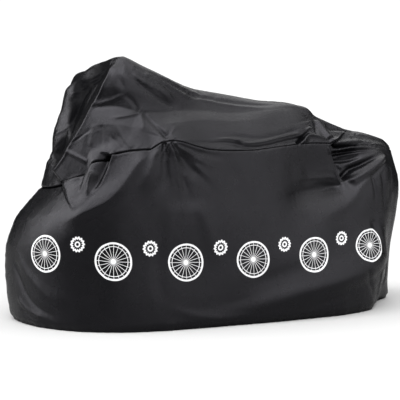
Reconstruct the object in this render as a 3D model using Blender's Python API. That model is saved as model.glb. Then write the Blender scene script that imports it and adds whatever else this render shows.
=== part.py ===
"""Fitted bicycle cover: a hollow shell of thin coated cloth, draped over a bicycle that is left out.

The bicycle's front is at -X and its left side, called near here, at -Y. The floor is z = 0 and the
hem lies on it all round. Four panels are sewn together: a side panel from the hem up to the waist
seam on each side, and a hood panel from there up to the centre seam over the top on each side.

The skin is a loft. A row of LEVELS or of HOOD_RAILS runs from the front centre seam to the rear one,
and a row of SECTIONS crosses them. FOLDS then raises the main creases and sinks the main troughs.
"""

from collections import namedtuple

import bmesh
import bpy
import numpy as np

# Driving dimensions, in metres.
WALL = 0.002
SEAM_GAP = 0.0005
COLUMN_PITCH = 0.040
SIDE_ROWS_PER_LEVEL = 3
HOOD_ROWS_PER_RAIL = 3
# The tables' x at the middle of the length, which becomes the part's origin.
MIDDLE_X = 0.009
# How round the loft runs through its table: 1 is a smooth curve and 0 a straight facet.
ROUND_ALONG = 0.85
ROUND_UP = 0.75

NEAR, FAR = -1, 1
CLOTH_COLOUR = (0.018, 0.018, 0.020, 1.0)
SIDE_ROUGHNESS = 0.42
HOOD_ROUGHNESS = 0.40

# A level is a plan curve round the side panels. height is its share of the waist seam's height, and
# front and rear are where it crosses the centre seams.
Level = namedtuple("Level", "height front rear")
LEVELS = (
    Level(0.00, -0.872, 0.874),
    Level(0.17, -0.885, 0.862),
    Level(0.38, -0.892, 0.862),
    Level(0.58, -0.886, 0.888),
    Level(0.78, -0.845, 0.910),
    Level(1.00, -0.745, 0.873),
)

# A section crosses the near side: its share of the length, the height of the waist seam there, and
# the half width of the cover at each of LEVELS. far is what the far side's half widths are, in shares.
Section = namedtuple("Section", "share seam_z hem shin knee belly rib seam far")
SECTIONS = (
    Section(0.000, 0.545, 0.000, 0.000, 0.000, 0.000, 0.000, 0.000, 1.00),
    Section(0.018, 0.548, 0.106, 0.110, 0.109, 0.112, 0.110, 0.096, 0.98),
    Section(0.060, 0.575, 0.228, 0.226, 0.224, 0.226, 0.226, 0.208, 0.96),
    Section(0.125, 0.630, 0.326, 0.325, 0.322, 0.327, 0.325, 0.302, 0.94),
    Section(0.215, 0.703, 0.400, 0.402, 0.394, 0.384, 0.368, 0.338, 0.96),
    Section(0.290, 0.738, 0.418, 0.418, 0.404, 0.390, 0.370, 0.346, 0.97),
    Section(0.390, 0.703, 0.420, 0.417, 0.402, 0.385, 0.356, 0.322, 0.96),
    Section(0.500, 0.699, 0.410, 0.406, 0.390, 0.367, 0.334, 0.294, 0.98),
    Section(0.600, 0.714, 0.398, 0.394, 0.376, 0.340, 0.294, 0.258, 0.99),
    Section(0.690, 0.725, 0.384, 0.380, 0.355, 0.291, 0.215, 0.205, 0.99),
    Section(0.780, 0.724, 0.354, 0.356, 0.328, 0.252, 0.180, 0.165, 0.97),
    Section(0.865, 0.724, 0.284, 0.303, 0.285, 0.236, 0.180, 0.125, 0.98),
    Section(0.950, 0.712, 0.085, 0.150, 0.170, 0.160, 0.130, 0.080, 1.00),
    Section(0.985, 0.700, 0.040, 0.070, 0.090, 0.090, 0.070, 0.045, 1.00),
    Section(1.000, 0.694, 0.000, 0.000, 0.000, 0.000, 0.000, 0.000, 1.00),
)

# The hood above each section, from the waist seam up: each rail's (x, half width, z). The band is
# the flat stretch above the seam, the crease is the line over it where the cloth turns steeper, the
# crest runs over the handlebar grip to the saddle, and the ridge is the centre seam.
HoodSection = namedtuple("HoodSection", "band crease crest ridge")
HOOD_RAIL_HEIGHTS = (0.0, 0.33, 0.62, 0.85, 1.0)
NEAR_HOOD = (
    HoodSection((-0.703, 0.000, 0.700), (-0.666, 0.000, 0.845), (-0.618, 0.000, 0.975), (-0.526, 0, 1.046)),
    HoodSection((-0.684, 0.082, 0.660), (-0.642, 0.086, 0.800), (-0.578, 0.100, 0.974), (-0.505, 0, 1.056)),
    HoodSection((-0.652, 0.162, 0.690), (-0.600, 0.158, 0.815), (-0.476, 0.155, 1.050), (-0.472, 0, 1.060)),
    HoodSection((-0.532, 0.260, 0.740), (-0.511, 0.222, 0.865), (-0.430, 0.172, 1.071), (-0.412, 0, 1.052)),
    HoodSection((-0.394, 0.306, 0.784), (-0.379, 0.268, 0.865), (-0.348, 0.178, 1.036), (-0.340, 0, 1.019)),
    HoodSection((-0.276, 0.300, 0.800), (-0.255, 0.243, 0.862), (-0.245, 0.160, 0.996), (-0.240, 0, 0.984)),
    HoodSection((-0.121, 0.268, 0.782), (-0.116, 0.202, 0.855), (-0.110, 0.100, 0.952), (-0.110, 0, 0.949)),
    HoodSection((0.061, 0.240, 0.776), (0.067, 0.162, 0.854), (0.070, 0.070, 0.926), (0.070, 0, 0.932)),
    HoodSection((0.207, 0.206, 0.785), (0.203, 0.137, 0.862), (0.210, 0.070, 0.904), (0.210, 0, 0.914)),
    HoodSection((0.350, 0.165, 0.798), (0.365, 0.095, 0.870), (0.370, 0.065, 0.892), (0.370, 0, 0.900)),
    HoodSection((0.480, 0.130, 0.773), (0.480, 0.085, 0.812), (0.480, 0.055, 0.839), (0.478, 0, 0.849)),
    HoodSection((0.620, 0.100, 0.749), (0.620, 0.065, 0.779), (0.620, 0.040, 0.789), (0.620, 0, 0.794)),
    HoodSection((0.765, 0.060, 0.735), (0.765, 0.040, 0.752), (0.765, 0.025, 0.760), (0.765, 0, 0.763)),
    HoodSection((0.830, 0.030, 0.722), (0.830, 0.020, 0.735), (0.825, 0.012, 0.742), (0.820, 0, 0.745)),
    HoodSection((0.868, 0.000, 0.710), (0.857, 0.000, 0.720), (0.845, 0.000, 0.732), (0.842, 0, 0.735)),
)
# Where the far crest differs from the near one: section number to (x, half width, z). The bars are
# turned a little, so the far grip stands further forward and lower.
FAR_CREST = {
    2: (-0.568, 0.236, 1.005),
    3: (-0.532, 0.268, 1.034),
    4: (-0.400, 0.236, 1.004),
    5: (-0.260, 0.168, 0.966),
    6: (-0.110, 0.100, 0.940),
}

# A fold runs along a path of two or more points in a plane, "xz" on a side, "xy" on the top and "yz"
# on an end. width and height go from the first to the last point, and a negative height is a trough.
Fold = namedtuple("Fold", "side plane path width height")
FOLDS = (
    Fold(
        NEAR,
        "xz",
        ((-0.35, 0.68), (-0.45, 0.57), (-0.57, 0.46), (-0.71, 0.39), (-0.85, 0.35)),
        (0.10, 0.12),
        (0.014, 0.012),
    ),
    Fold(NEAR, "xz", ((-0.53, 0.63), (-0.59, 0.53)), (0.09, 0.09), (-0.026, -0.010)),
    Fold(NEAR, "xz", ((-0.22, 0.70), (-0.22, 0.45)), (0.08, 0.16), (-0.012, -0.004)),
    Fold(NEAR, "xz", ((0.54, 0.545), (0.39, 0.53), (0.22, 0.50)), (0.07, 0.10), (-0.010, -0.004)),
    Fold(NEAR, "xz", ((0.80, 0.66), (0.66, 0.52), (0.45, 0.41), (0.25, 0.32)), (0.10, 0.14), (0.018, 0.016)),
    Fold(NEAR, "xz", ((0.49, 0.70), (0.52, 0.56)), (0.13, 0.09), (-0.034, -0.020)),
    Fold(
        NEAR,
        "xz",
        ((0.78, 0.27), (0.55, 0.19), (0.36, 0.14), (0.17, 0.08), (-0.05, 0.03)),
        (0.14, 0.12),
        (0.026, 0.012),
    ),
    Fold(FAR, "xz", ((-0.44, 0.58), (-0.62, 0.40), (-0.80, 0.34)), (0.12, 0.12), (0.014, 0.010)),
    Fold(FAR, "xz", ((-0.22, 0.68), (-0.16, 0.40), (-0.10, 0.15)), (0.09, 0.18), (-0.014, -0.006)),
    Fold(FAR, "xz", ((0.30, 0.66), (0.12, 0.45), (-0.05, 0.30)), (0.12, 0.16), (0.012, 0.008)),
    Fold(FAR, "xz", ((0.46, 0.66), (0.44, 0.46), (0.38, 0.30)), (0.10, 0.14), (-0.022, -0.008)),
    Fold(FAR, "xz", ((0.82, 0.62), (0.66, 0.42), (0.45, 0.25)), (0.12, 0.15), (0.012, 0.010)),
)
# A fold fades to FOLD_END_SHARE of its height over FOLD_FADE of its path at each end, and to nothing
# over SIDE_FADE metres from the centre seams.
FOLD_FADE = 0.12
FOLD_END_SHARE = 0.4
SIDE_FADE = 0.05
# Faces that meet at more than this angle, in degrees, keep a sharp edge.
SHARP_ANGLE = 40.0


def smooth_step(value):
    """0 below 0, 1 above 1 and a smooth rise between."""
    value = np.clip(value, 0.0, 1.0)
    return value * value * (3.0 - 2.0 * value)


def smooth_curve(knots, values, at, roundness):
    """Points at the parameters `at` of a curve through values, one row for each of the rising knots."""
    knots = np.asarray(knots, float)
    values = np.asarray(values, float)
    step = np.diff(knots)
    slope = np.diff(values, axis=0) / step.reshape((-1,) + (1,) * (values.ndim - 1))
    before, after = step[:-1], step[1:]
    share = (before / (before + after)).reshape((-1,) + (1,) * (values.ndim - 1))
    tangent = np.concatenate((slope[:1], share * slope[1:] + (1 - share) * slope[:-1], slope[-1:]))
    k = np.clip(np.searchsorted(knots, at, side="right") - 1, 0, len(step) - 1)
    shape = (-1,) + (1,) * (values.ndim - 1)
    width = step[k].reshape(shape)
    u = ((at - knots[k]) / step[k]).reshape(shape)
    chord = values[k + 1] - values[k]
    start = roundness * tangent[k] * width + (1 - roundness) * chord
    end = roundness * tangent[k + 1] * width + (1 - roundness) * chord
    return (
        values[k]
        + u * start
        + u**2 * (3 * chord - 2 * start - end)
        + u**3 * (start + end - 2 * chord)
    )


def side_net(side):
    """The side panel's table as points: (level, section, xyz)."""
    net = np.zeros((len(LEVELS), len(SECTIONS), 3))
    for j, section in enumerate(SECTIONS):
        halves = (section.hem, section.shin, section.knee, section.belly, section.rib, section.seam)
        share_of_near = section.far if side == FAR else 1.0
        for i, (level, half) in enumerate(zip(LEVELS, halves)):
            x = level.front + (level.rear - level.front) * section.share
            net[i, j] = (x, side * half * share_of_near, level.height * section.seam_z)
    return net


def hood_net(side):
    """The hood panel's table as points, with the waist seam first: (rail, section, xyz)."""
    net = np.zeros((len(HOOD_RAIL_HEIGHTS), len(SECTIONS), 3))
    net[0] = side_net(side)[-1]
    for j, section in enumerate(NEAR_HOOD):
        crest = FAR_CREST.get(j, section.crest) if side == FAR else section.crest
        share_of_near = SECTIONS[j].far if side == FAR else 1.0
        for i, (x, half, z) in enumerate((section.band, section.crease, crest, section.ridge), 1):
            net[i, j] = (x, side * half * share_of_near, z)
    return net


def column_parameters():
    """(knots, columns): the near hem's length at each section, and at each column of the mesh."""
    knots = np.concatenate(([0.0], np.cumsum(np.linalg.norm(np.diff(side_net(NEAR)[0], axis=0), axis=1))))
    columns = [knots[:1]]
    for low, high in zip(knots[:-1], knots[1:]):
        count = max(1, round((high - low) / COLUMN_PITCH))
        columns.append(np.linspace(low, high, count + 1)[1:])
    return knots, np.concatenate(columns)


def run_along(net, other_net, knots, columns):
    """The net with every row run through its sections, and round into the other side's at each end."""
    loop = np.concatenate((other_net[:, 2:0:-1], net, other_net[:, -2:-4:-1]), axis=1)
    loop_knots = np.concatenate((-knots[2:0:-1], knots, 2 * knots[-1] - knots[-2:-4:-1]))
    return smooth_curve(loop_knots, loop.swapaxes(0, 1), columns, ROUND_ALONG).swapaxes(0, 1)


def row_heights(heights, rows_per_step):
    """The heights of the mesh's rows, spaced evenly between each two of the table's."""
    steps = np.arange(rows_per_step * (len(heights) - 1) + 1) / rows_per_step
    return np.interp(steps, np.arange(len(heights)), heights)


def run_up_sides(rows):
    """The side panel's points at every mesh row, from its rows at the levels."""
    heights = np.array([level.height for level in LEVELS])
    return smooth_curve(heights, rows, row_heights(heights, SIDE_ROWS_PER_LEVEL), ROUND_UP)


def run_up_hood(rows, other_rows):
    """The hood panel's points at every mesh row, smooth over the ridge to the other side."""
    heights = np.array(HOOD_RAIL_HEIGHTS)
    heights_over = np.append(heights, 2 * heights[-1] - heights[-2])
    rows_over = np.concatenate((rows, other_rows[-2:-1]))
    return smooth_curve(heights_over, rows_over, row_heights(heights, HOOD_ROWS_PER_RAIL), ROUND_UP)


def skin_normals(near, far):
    """Outward unit normals of both skins, shared where they meet at the centre seams."""
    sums = []
    for side, grid in ((NEAR, near), (FAR, far)):
        across = grid[1:, 1:] - grid[:-1, :-1]
        up = grid[1:, :-1] - grid[:-1, 1:]
        faces = np.cross(up, across) * side
        total = np.zeros_like(grid)
        for rows in (slice(None, -1), slice(1, None)):
            for columns in (slice(None, -1), slice(1, None)):
                total[rows, columns] += faces
        sums.append(total)
    for edge in (np.s_[:, 0], np.s_[:, -1], np.s_[-1, :]):
        shared = sums[0][edge] + sums[1][edge]
        sums[0][edge] = shared
        sums[1][edge] = shared
    return [total / np.linalg.norm(total, axis=2, keepdims=True) for total in sums]


def along_path(points, path):
    """(distance to the path, share of its length) of each 2D point."""
    path = np.array(path)
    lengths = np.linalg.norm(np.diff(path, axis=0), axis=1)
    done = np.concatenate(([0.0], np.cumsum(lengths))) / lengths.sum()
    nearest = np.full(points.shape[:-1], np.inf)
    share = np.zeros(points.shape[:-1])
    for k, length in enumerate(lengths):
        run = (path[k + 1] - path[k]) / length
        at = np.clip((points - path[k]) @ run, 0.0, length)
        distance = np.linalg.norm(points - path[k] - at[..., None] * run, axis=-1)
        closer = distance < nearest
        nearest = np.where(closer, distance, nearest)
        share = np.where(closer, done[k] + (done[k + 1] - done[k]) * at / length, share)
    return nearest, share


def fold_heights(skin, normals):
    """How far the folds raise each point of the skin along its normal."""
    total = np.zeros(skin.shape[:-1])
    for fold in FOLDS:
        axes = ["xyz".index(letter) for letter in fold.plane]
        facing = ({0, 1, 2} - set(axes)).pop()
        distance, share = along_path(skin[..., axes], fold.path)
        width = fold.width[0] + (fold.width[1] - fold.width[0]) * share
        height = fold.height[0] + (fold.height[1] - fold.height[0]) * share
        ends = smooth_step(share / FOLD_FADE) * smooth_step((1.0 - share) / FOLD_FADE)
        on_side = smooth_step(fold.side * skin[..., 1] / SIDE_FADE)
        profile = smooth_step(1.0 - distance / width) * (FOLD_END_SHARE + (1 - FOLD_END_SHARE) * ends)
        total += height * profile * on_side * np.abs(normals[..., facing])
    return total


def lay_on_floor(skin):
    """The skin with its hem on the floor and nothing below it."""
    skin[0, :, 2] = 0.0
    skin[1:, :, 2] = np.maximum(skin[1:, :, 2], WALL)
    return skin


def cover_skins():
    """(near, far) outer skins, from the hem to the ridge: (row, column, xyz)."""
    knots, columns = column_parameters()
    skins = []
    for side in (NEAR, FAR):
        side_rows = run_along(side_net(side), side_net(-side), knots, columns)
        hood_rows = run_along(hood_net(side), hood_net(-side), knots, columns)
        other_hood_rows = run_along(hood_net(-side), hood_net(side), knots, columns)
        hood = run_up_hood(hood_rows, other_hood_rows)
        skins.append(np.concatenate((run_up_sides(side_rows), hood[1:])))
    normals = skin_normals(*skins)
    return [
        lay_on_floor(skin + normal * fold_heights(skin, normal)[..., None])
        for skin, normal in zip(skins, normals)
    ]


def drawn_in(grid):
    """The grid with its outermost points moved half a seam gap towards the next ones."""
    drawn = grid.copy()
    for edge, inner in ((np.s_[0, :], np.s_[1, :]), (np.s_[-1, :], np.s_[-2, :]),
                        (np.s_[:, 0], np.s_[:, 1]), (np.s_[:, -1], np.s_[:, -2])):
        way = grid[inner] - grid[edge]
        drawn[edge] += way / np.linalg.norm(way, axis=-1, keepdims=True) * SEAM_GAP / 2
    return drawn


def panel(name, outer, normals, material, on_floor):
    """A closed panel: the outer skin, an inner skin a wall away, and the rim between them."""
    outward = normals.copy()
    if on_floor:
        outward[0, :, 2] = 0.0
        outward[0] /= np.linalg.norm(outward[0], axis=-1, keepdims=True)
    drawn = drawn_in(outer)
    if on_floor:
        drawn[0, :, 2] = 0.0
    skins = (drawn, drawn - WALL * outward)
    mesh = bmesh.new()
    rows, columns = outer.shape[:2]
    outside, inside = [
        [[mesh.verts.new(grid[i, j] - (MIDDLE_X, 0, 0)) for j in range(columns)] for i in range(rows)]
        for grid in skins
    ]
    for i in range(rows - 1):
        for j in range(columns - 1):
            for grid in (outside, inside):
                mesh.faces.new((grid[i][j], grid[i][j + 1], grid[i + 1][j + 1], grid[i + 1][j]))
    rim = [(0, j) for j in range(columns - 1)]
    rim += [(i, columns - 1) for i in range(rows - 1)]
    rim += [(rows - 1, j) for j in range(columns - 1, 0, -1)]
    rim += [(i, 0) for i in range(rows - 1, 0, -1)]
    for (i, j), (k, m) in zip(rim, rim[1:] + rim[:1]):
        mesh.faces.new((outside[i][j], outside[k][m], inside[k][m], inside[i][j]))
    bmesh.ops.triangulate(mesh, faces=mesh.faces)
    bmesh.ops.recalc_face_normals(mesh, faces=mesh.faces)
    data = bpy.data.meshes.new(name)
    mesh.to_mesh(data)
    mesh.free()
    data.shade_smooth()
    data.set_sharp_from_angle(angle=np.radians(SHARP_ANGLE))
    data.materials.append(material)
    return bpy.data.objects.new(name, data)


def coated_cloth(name, roughness):
    """Coated cloth: near black, with a soft sheen."""
    material = bpy.data.materials.new(name)
    material.use_nodes = True
    shader = material.node_tree.nodes["Principled BSDF"]
    shader.inputs["Base Color"].default_value = CLOTH_COLOUR
    shader.inputs["Roughness"].default_value = roughness
    shader.inputs["Metallic"].default_value = 0.0
    material.diffuse_color = CLOTH_COLOUR
    return material


def clear_scene():
    """Removes every object of the scene."""
    for obj in list(bpy.data.objects):
        bpy.data.objects.remove(obj, do_unlink=True)


def main():
    """Builds the four panels in a collection of their own."""
    clear_scene()
    collection = bpy.data.collections.new("bicycle_cover")
    bpy.context.scene.collection.children.link(collection)
    side_cloth = coated_cloth("side_cloth", SIDE_ROUGHNESS)
    hood_cloth = coated_cloth("hood_cloth", HOOD_ROUGHNESS)
    skins = cover_skins()
    normals = skin_normals(*skins)
    waist = SIDE_ROWS_PER_LEVEL * (len(LEVELS) - 1)
    for label, skin, normal in zip(("near", "far"), skins, normals):
        lower = panel(f"side_panel_{label}", skin[: waist + 1], normal[: waist + 1], side_cloth, True)
        upper = panel(f"hood_panel_{label}", skin[waist:], normal[waist:], hood_cloth, False)
        collection.objects.link(lower)
        collection.objects.link(upper)


main()
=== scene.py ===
"""Looks of the fitted bicycle cover: four panels of thin coated cloth with folds, seams, hem and print.

The frame's axes: the bicycle's front at -X, its left side, called near, at -Y, and the floor at z = 0.
All is in metres. The section tables repeat those of the part's solids, with the hem spread a little
wider in front, and the panels are lofted from them at a fine pitch. Folds, fans of small creases,
crumpled patches, puckered seams and the hem are then raised along the cloth's normals.
"""

from __future__ import annotations

import logging
import math
import random
from dataclasses import dataclass, field
from enum import Enum
from typing import Iterable, Sequence

import bpy
import numpy as np
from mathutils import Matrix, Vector, kdtree

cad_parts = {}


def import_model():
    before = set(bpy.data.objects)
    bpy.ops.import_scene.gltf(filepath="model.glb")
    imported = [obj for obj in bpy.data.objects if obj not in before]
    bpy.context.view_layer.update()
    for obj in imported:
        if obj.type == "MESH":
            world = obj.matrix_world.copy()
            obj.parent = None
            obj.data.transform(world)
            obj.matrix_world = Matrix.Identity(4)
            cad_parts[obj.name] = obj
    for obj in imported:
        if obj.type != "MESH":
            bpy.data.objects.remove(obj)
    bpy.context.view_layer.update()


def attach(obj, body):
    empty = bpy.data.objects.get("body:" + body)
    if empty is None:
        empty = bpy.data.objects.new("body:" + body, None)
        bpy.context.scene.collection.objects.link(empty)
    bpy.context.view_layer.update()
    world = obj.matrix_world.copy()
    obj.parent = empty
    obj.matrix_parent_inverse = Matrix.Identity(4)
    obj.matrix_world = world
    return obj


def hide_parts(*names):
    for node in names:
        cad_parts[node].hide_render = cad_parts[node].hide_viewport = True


LOG = logging.getLogger("bicycle_cover")
MIDDLE_X = 0.009
FLOOR_GAP = 0.0004

Point = tuple[float, ...]
Pair = tuple[float, float]
Socket = bpy.types.NodeSocket


def smooth_step(value: np.ndarray) -> np.ndarray:
    """Return 0 below 0, 1 above 1 and a smooth rise between."""
    value = np.clip(value, 0.0, 1.0)
    return value * value * (3.0 - 2.0 * value)


def lengths_along(points: np.ndarray, axis: int = 0) -> np.ndarray:
    """Return how long a line of points, or each line of a grid, has run at each point."""
    steps = np.linalg.norm(np.diff(points, axis=axis), axis=-1)
    return np.insert(np.cumsum(steps, axis=axis), 0, 0.0, axis=axis)


def smooth_curve(knots: np.ndarray, values: np.ndarray, at: np.ndarray, roundness: float) -> np.ndarray:
    """Run a curve through a table's rows.

    Args:
        knots: The rising parameter of each row.
        values: The rows, along the first axis.
        at: The parameters to read the curve at.
        roundness: 1 for a smooth curve and 0 for straight runs.

    Returns:
        The curve's values, one row for each of `at`.
    """
    spread = (-1,) + (1,) * (values.ndim - 1)
    step = np.diff(knots)
    slope = np.diff(values, axis=0) / step.reshape(spread)
    share = (step[:-1] / (step[:-1] + step[1:])).reshape(spread)
    tangent = np.concatenate((slope[:1], share * slope[1:] + (1 - share) * slope[:-1], slope[-1:]))
    k = np.clip(np.searchsorted(knots, at, side="right") - 1, 0, len(step) - 1)
    u = ((at - knots[k]) / step[k]).reshape(spread)
    chord = values[k + 1] - values[k]
    run = roundness * step[k].reshape(spread)
    start = run * tangent[k] + (1 - roundness) * chord
    end = run * tangent[k + 1] + (1 - roundness) * chord
    return values[k] + u * start + u**2 * (3 * chord - 2 * start - end) + u**3 * (start + end - 2 * chord)


def graded(pitches: Sequence[Pair], length: float) -> np.ndarray:
    """Divide a length into steps whose size varies along it.

    Args:
        pitches: Rows of (share of the length, step there).
        length: The length.

    Returns:
        The shares of the length where the steps begin and end.
    """
    shares, steps = np.array(pitches).T
    fine = np.linspace(0.0, 1.0, 2001)
    density = length / np.interp(fine, shares, steps)
    total = np.concatenate(([0.0], np.cumsum((density[1:] + density[:-1]) / 2 * np.diff(fine))))
    return np.interp(np.linspace(0.0, total[-1], round(total[-1]) + 1), total, fine)


def lattice_noise(points: np.ndarray, seed: int) -> np.ndarray:
    """Return smooth random values from -1 to 1.

    Args:
        points: Where to read the noise, in cells, along the last axis.
        seed: Which noise to read.

    Returns:
        The noise at each point.
    """
    cell = np.floor(points).astype(np.int64)
    part = points - cell
    part = part * part * (3.0 - 2.0 * part)
    total = np.zeros(points.shape[:-1])
    for corner in np.ndindex(2, 2, 2):
        x, y, z = np.moveaxis(cell + np.array(corner), -1, 0)
        mixed = x * 73856093 ^ y * 19349663 ^ z * 83492791 ^ seed * 2654435761
        mixed = (mixed ^ (mixed >> 13)) * 1274126177 & 0x7FFFFFFF
        value = (mixed ^ (mixed >> 16)) / 0x7FFFFFFF * 2.0 - 1.0
        total += value * np.prod(np.where(np.array(corner), part, 1.0 - part), axis=-1)
    return total


class Side(Enum):
    """A side of the bicycle, with the sign of its Y."""

    NEAR = -1
    FAR = 1

    @property
    def other(self) -> "Side":
        """The side across the bicycle."""
        return Side(-self.value)


@dataclass(frozen=True)
class Level:
    """A plan curve round the side panels, at a share of the waist seam's height."""

    height: float
    front: float
    rear: float


@dataclass(frozen=True)
class Section:
    """A cross-section: its share of the length, the waist seam's height and the half width at each level."""

    share: float
    seam_z: float
    halves: Point
    far: float


@dataclass(frozen=True)
class HoodSection:
    """The hood above a cross-section: (x, half width, z) of each rail."""

    band: Point
    crease: Point
    crest: Point
    ridge: Point


LEVELS = (
    Level(0.00, -0.872, 0.874),
    Level(0.17, -0.885, 0.862),
    Level(0.38, -0.892, 0.862),
    Level(0.58, -0.886, 0.888),
    Level(0.78, -0.845, 0.910),
    Level(1.00, -0.745, 0.873),
)
SECTIONS = (
    Section(0.000, 0.545, (0.000, 0.000, 0.000, 0.000, 0.000, 0.000), 1.00),
    Section(0.018, 0.548, (0.124, 0.118, 0.109, 0.112, 0.110, 0.096), 0.98),
    Section(0.060, 0.575, (0.250, 0.236, 0.224, 0.226, 0.226, 0.208), 0.96),
    Section(0.125, 0.630, (0.350, 0.336, 0.322, 0.327, 0.325, 0.302), 0.94),
    Section(0.215, 0.703, (0.418, 0.410, 0.394, 0.384, 0.368, 0.338), 0.96),
    Section(0.290, 0.738, (0.436, 0.426, 0.404, 0.390, 0.370, 0.346), 0.97),
    Section(0.390, 0.703, (0.432, 0.423, 0.402, 0.385, 0.356, 0.322), 0.96),
    Section(0.500, 0.699, (0.418, 0.410, 0.390, 0.367, 0.334, 0.294), 0.98),
    Section(0.600, 0.714, (0.398, 0.394, 0.376, 0.340, 0.294, 0.258), 0.99),
    Section(0.690, 0.725, (0.384, 0.380, 0.355, 0.291, 0.215, 0.205), 0.99),
    Section(0.780, 0.724, (0.354, 0.356, 0.328, 0.252, 0.180, 0.165), 0.97),
    Section(0.865, 0.724, (0.284, 0.303, 0.285, 0.236, 0.180, 0.125), 0.98),
    Section(0.950, 0.712, (0.085, 0.150, 0.170, 0.160, 0.130, 0.080), 1.00),
    Section(0.985, 0.700, (0.040, 0.070, 0.090, 0.090, 0.070, 0.045), 1.00),
    Section(1.000, 0.694, (0.000, 0.000, 0.000, 0.000, 0.000, 0.000), 1.00),
)
HOOD_RAIL_HEIGHTS = (0.0, 0.33, 0.62, 0.85, 1.0)
NEAR_HOOD = (
    HoodSection((-0.703, 0.000, 0.700), (-0.666, 0.000, 0.845), (-0.618, 0.000, 0.975), (-0.526, 0, 1.046)),
    HoodSection((-0.684, 0.082, 0.660), (-0.642, 0.086, 0.800), (-0.578, 0.100, 0.974), (-0.505, 0, 1.056)),
    HoodSection((-0.652, 0.162, 0.690), (-0.600, 0.158, 0.815), (-0.476, 0.155, 1.050), (-0.472, 0, 1.060)),
    HoodSection((-0.532, 0.260, 0.740), (-0.511, 0.222, 0.865), (-0.430, 0.172, 1.071), (-0.412, 0, 1.052)),
    HoodSection((-0.394, 0.306, 0.784), (-0.379, 0.268, 0.865), (-0.348, 0.178, 1.036), (-0.340, 0, 1.019)),
    HoodSection((-0.276, 0.300, 0.800), (-0.255, 0.243, 0.862), (-0.245, 0.160, 0.996), (-0.240, 0, 0.984)),
    HoodSection((-0.121, 0.268, 0.782), (-0.116, 0.202, 0.855), (-0.110, 0.100, 0.952), (-0.110, 0, 0.949)),
    HoodSection((0.061, 0.240, 0.776), (0.067, 0.162, 0.854), (0.070, 0.070, 0.926), (0.070, 0, 0.932)),
    HoodSection((0.207, 0.206, 0.785), (0.203, 0.137, 0.862), (0.210, 0.070, 0.904), (0.210, 0, 0.914)),
    HoodSection((0.350, 0.165, 0.798), (0.365, 0.095, 0.870), (0.370, 0.065, 0.892), (0.370, 0, 0.900)),
    HoodSection((0.480, 0.130, 0.773), (0.480, 0.085, 0.812), (0.480, 0.055, 0.839), (0.478, 0, 0.849)),
    HoodSection((0.620, 0.100, 0.749), (0.620, 0.065, 0.779), (0.620, 0.040, 0.789), (0.620, 0, 0.794)),
    HoodSection((0.765, 0.060, 0.735), (0.765, 0.040, 0.752), (0.765, 0.025, 0.760), (0.765, 0, 0.763)),
    HoodSection((0.830, 0.030, 0.722), (0.830, 0.020, 0.735), (0.825, 0.012, 0.742), (0.820, 0, 0.745)),
    HoodSection((0.868, 0.000, 0.710), (0.857, 0.000, 0.720), (0.845, 0.000, 0.732), (0.842, 0, 0.735)),
)
FAR_CREST: dict[int, Point] = {
    2: (-0.568, 0.236, 1.005),
    3: (-0.532, 0.268, 1.034),
    4: (-0.400, 0.236, 1.004),
    5: (-0.260, 0.168, 0.966),
    6: (-0.110, 0.100, 0.940),
}
# How far the near side's waist seam is pushed up or down: (x, lift).
JOGS: tuple[Pair, ...] = (
    (-0.660, 0.000), (-0.600, -0.003), (-0.584, -0.005), (-0.573, 0.032), (-0.545, 0.034),
    (-0.500, 0.034), (-0.450, 0.018), (-0.410, 0.003), (-0.360, -0.013), (-0.320, 0.000),
)


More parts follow.
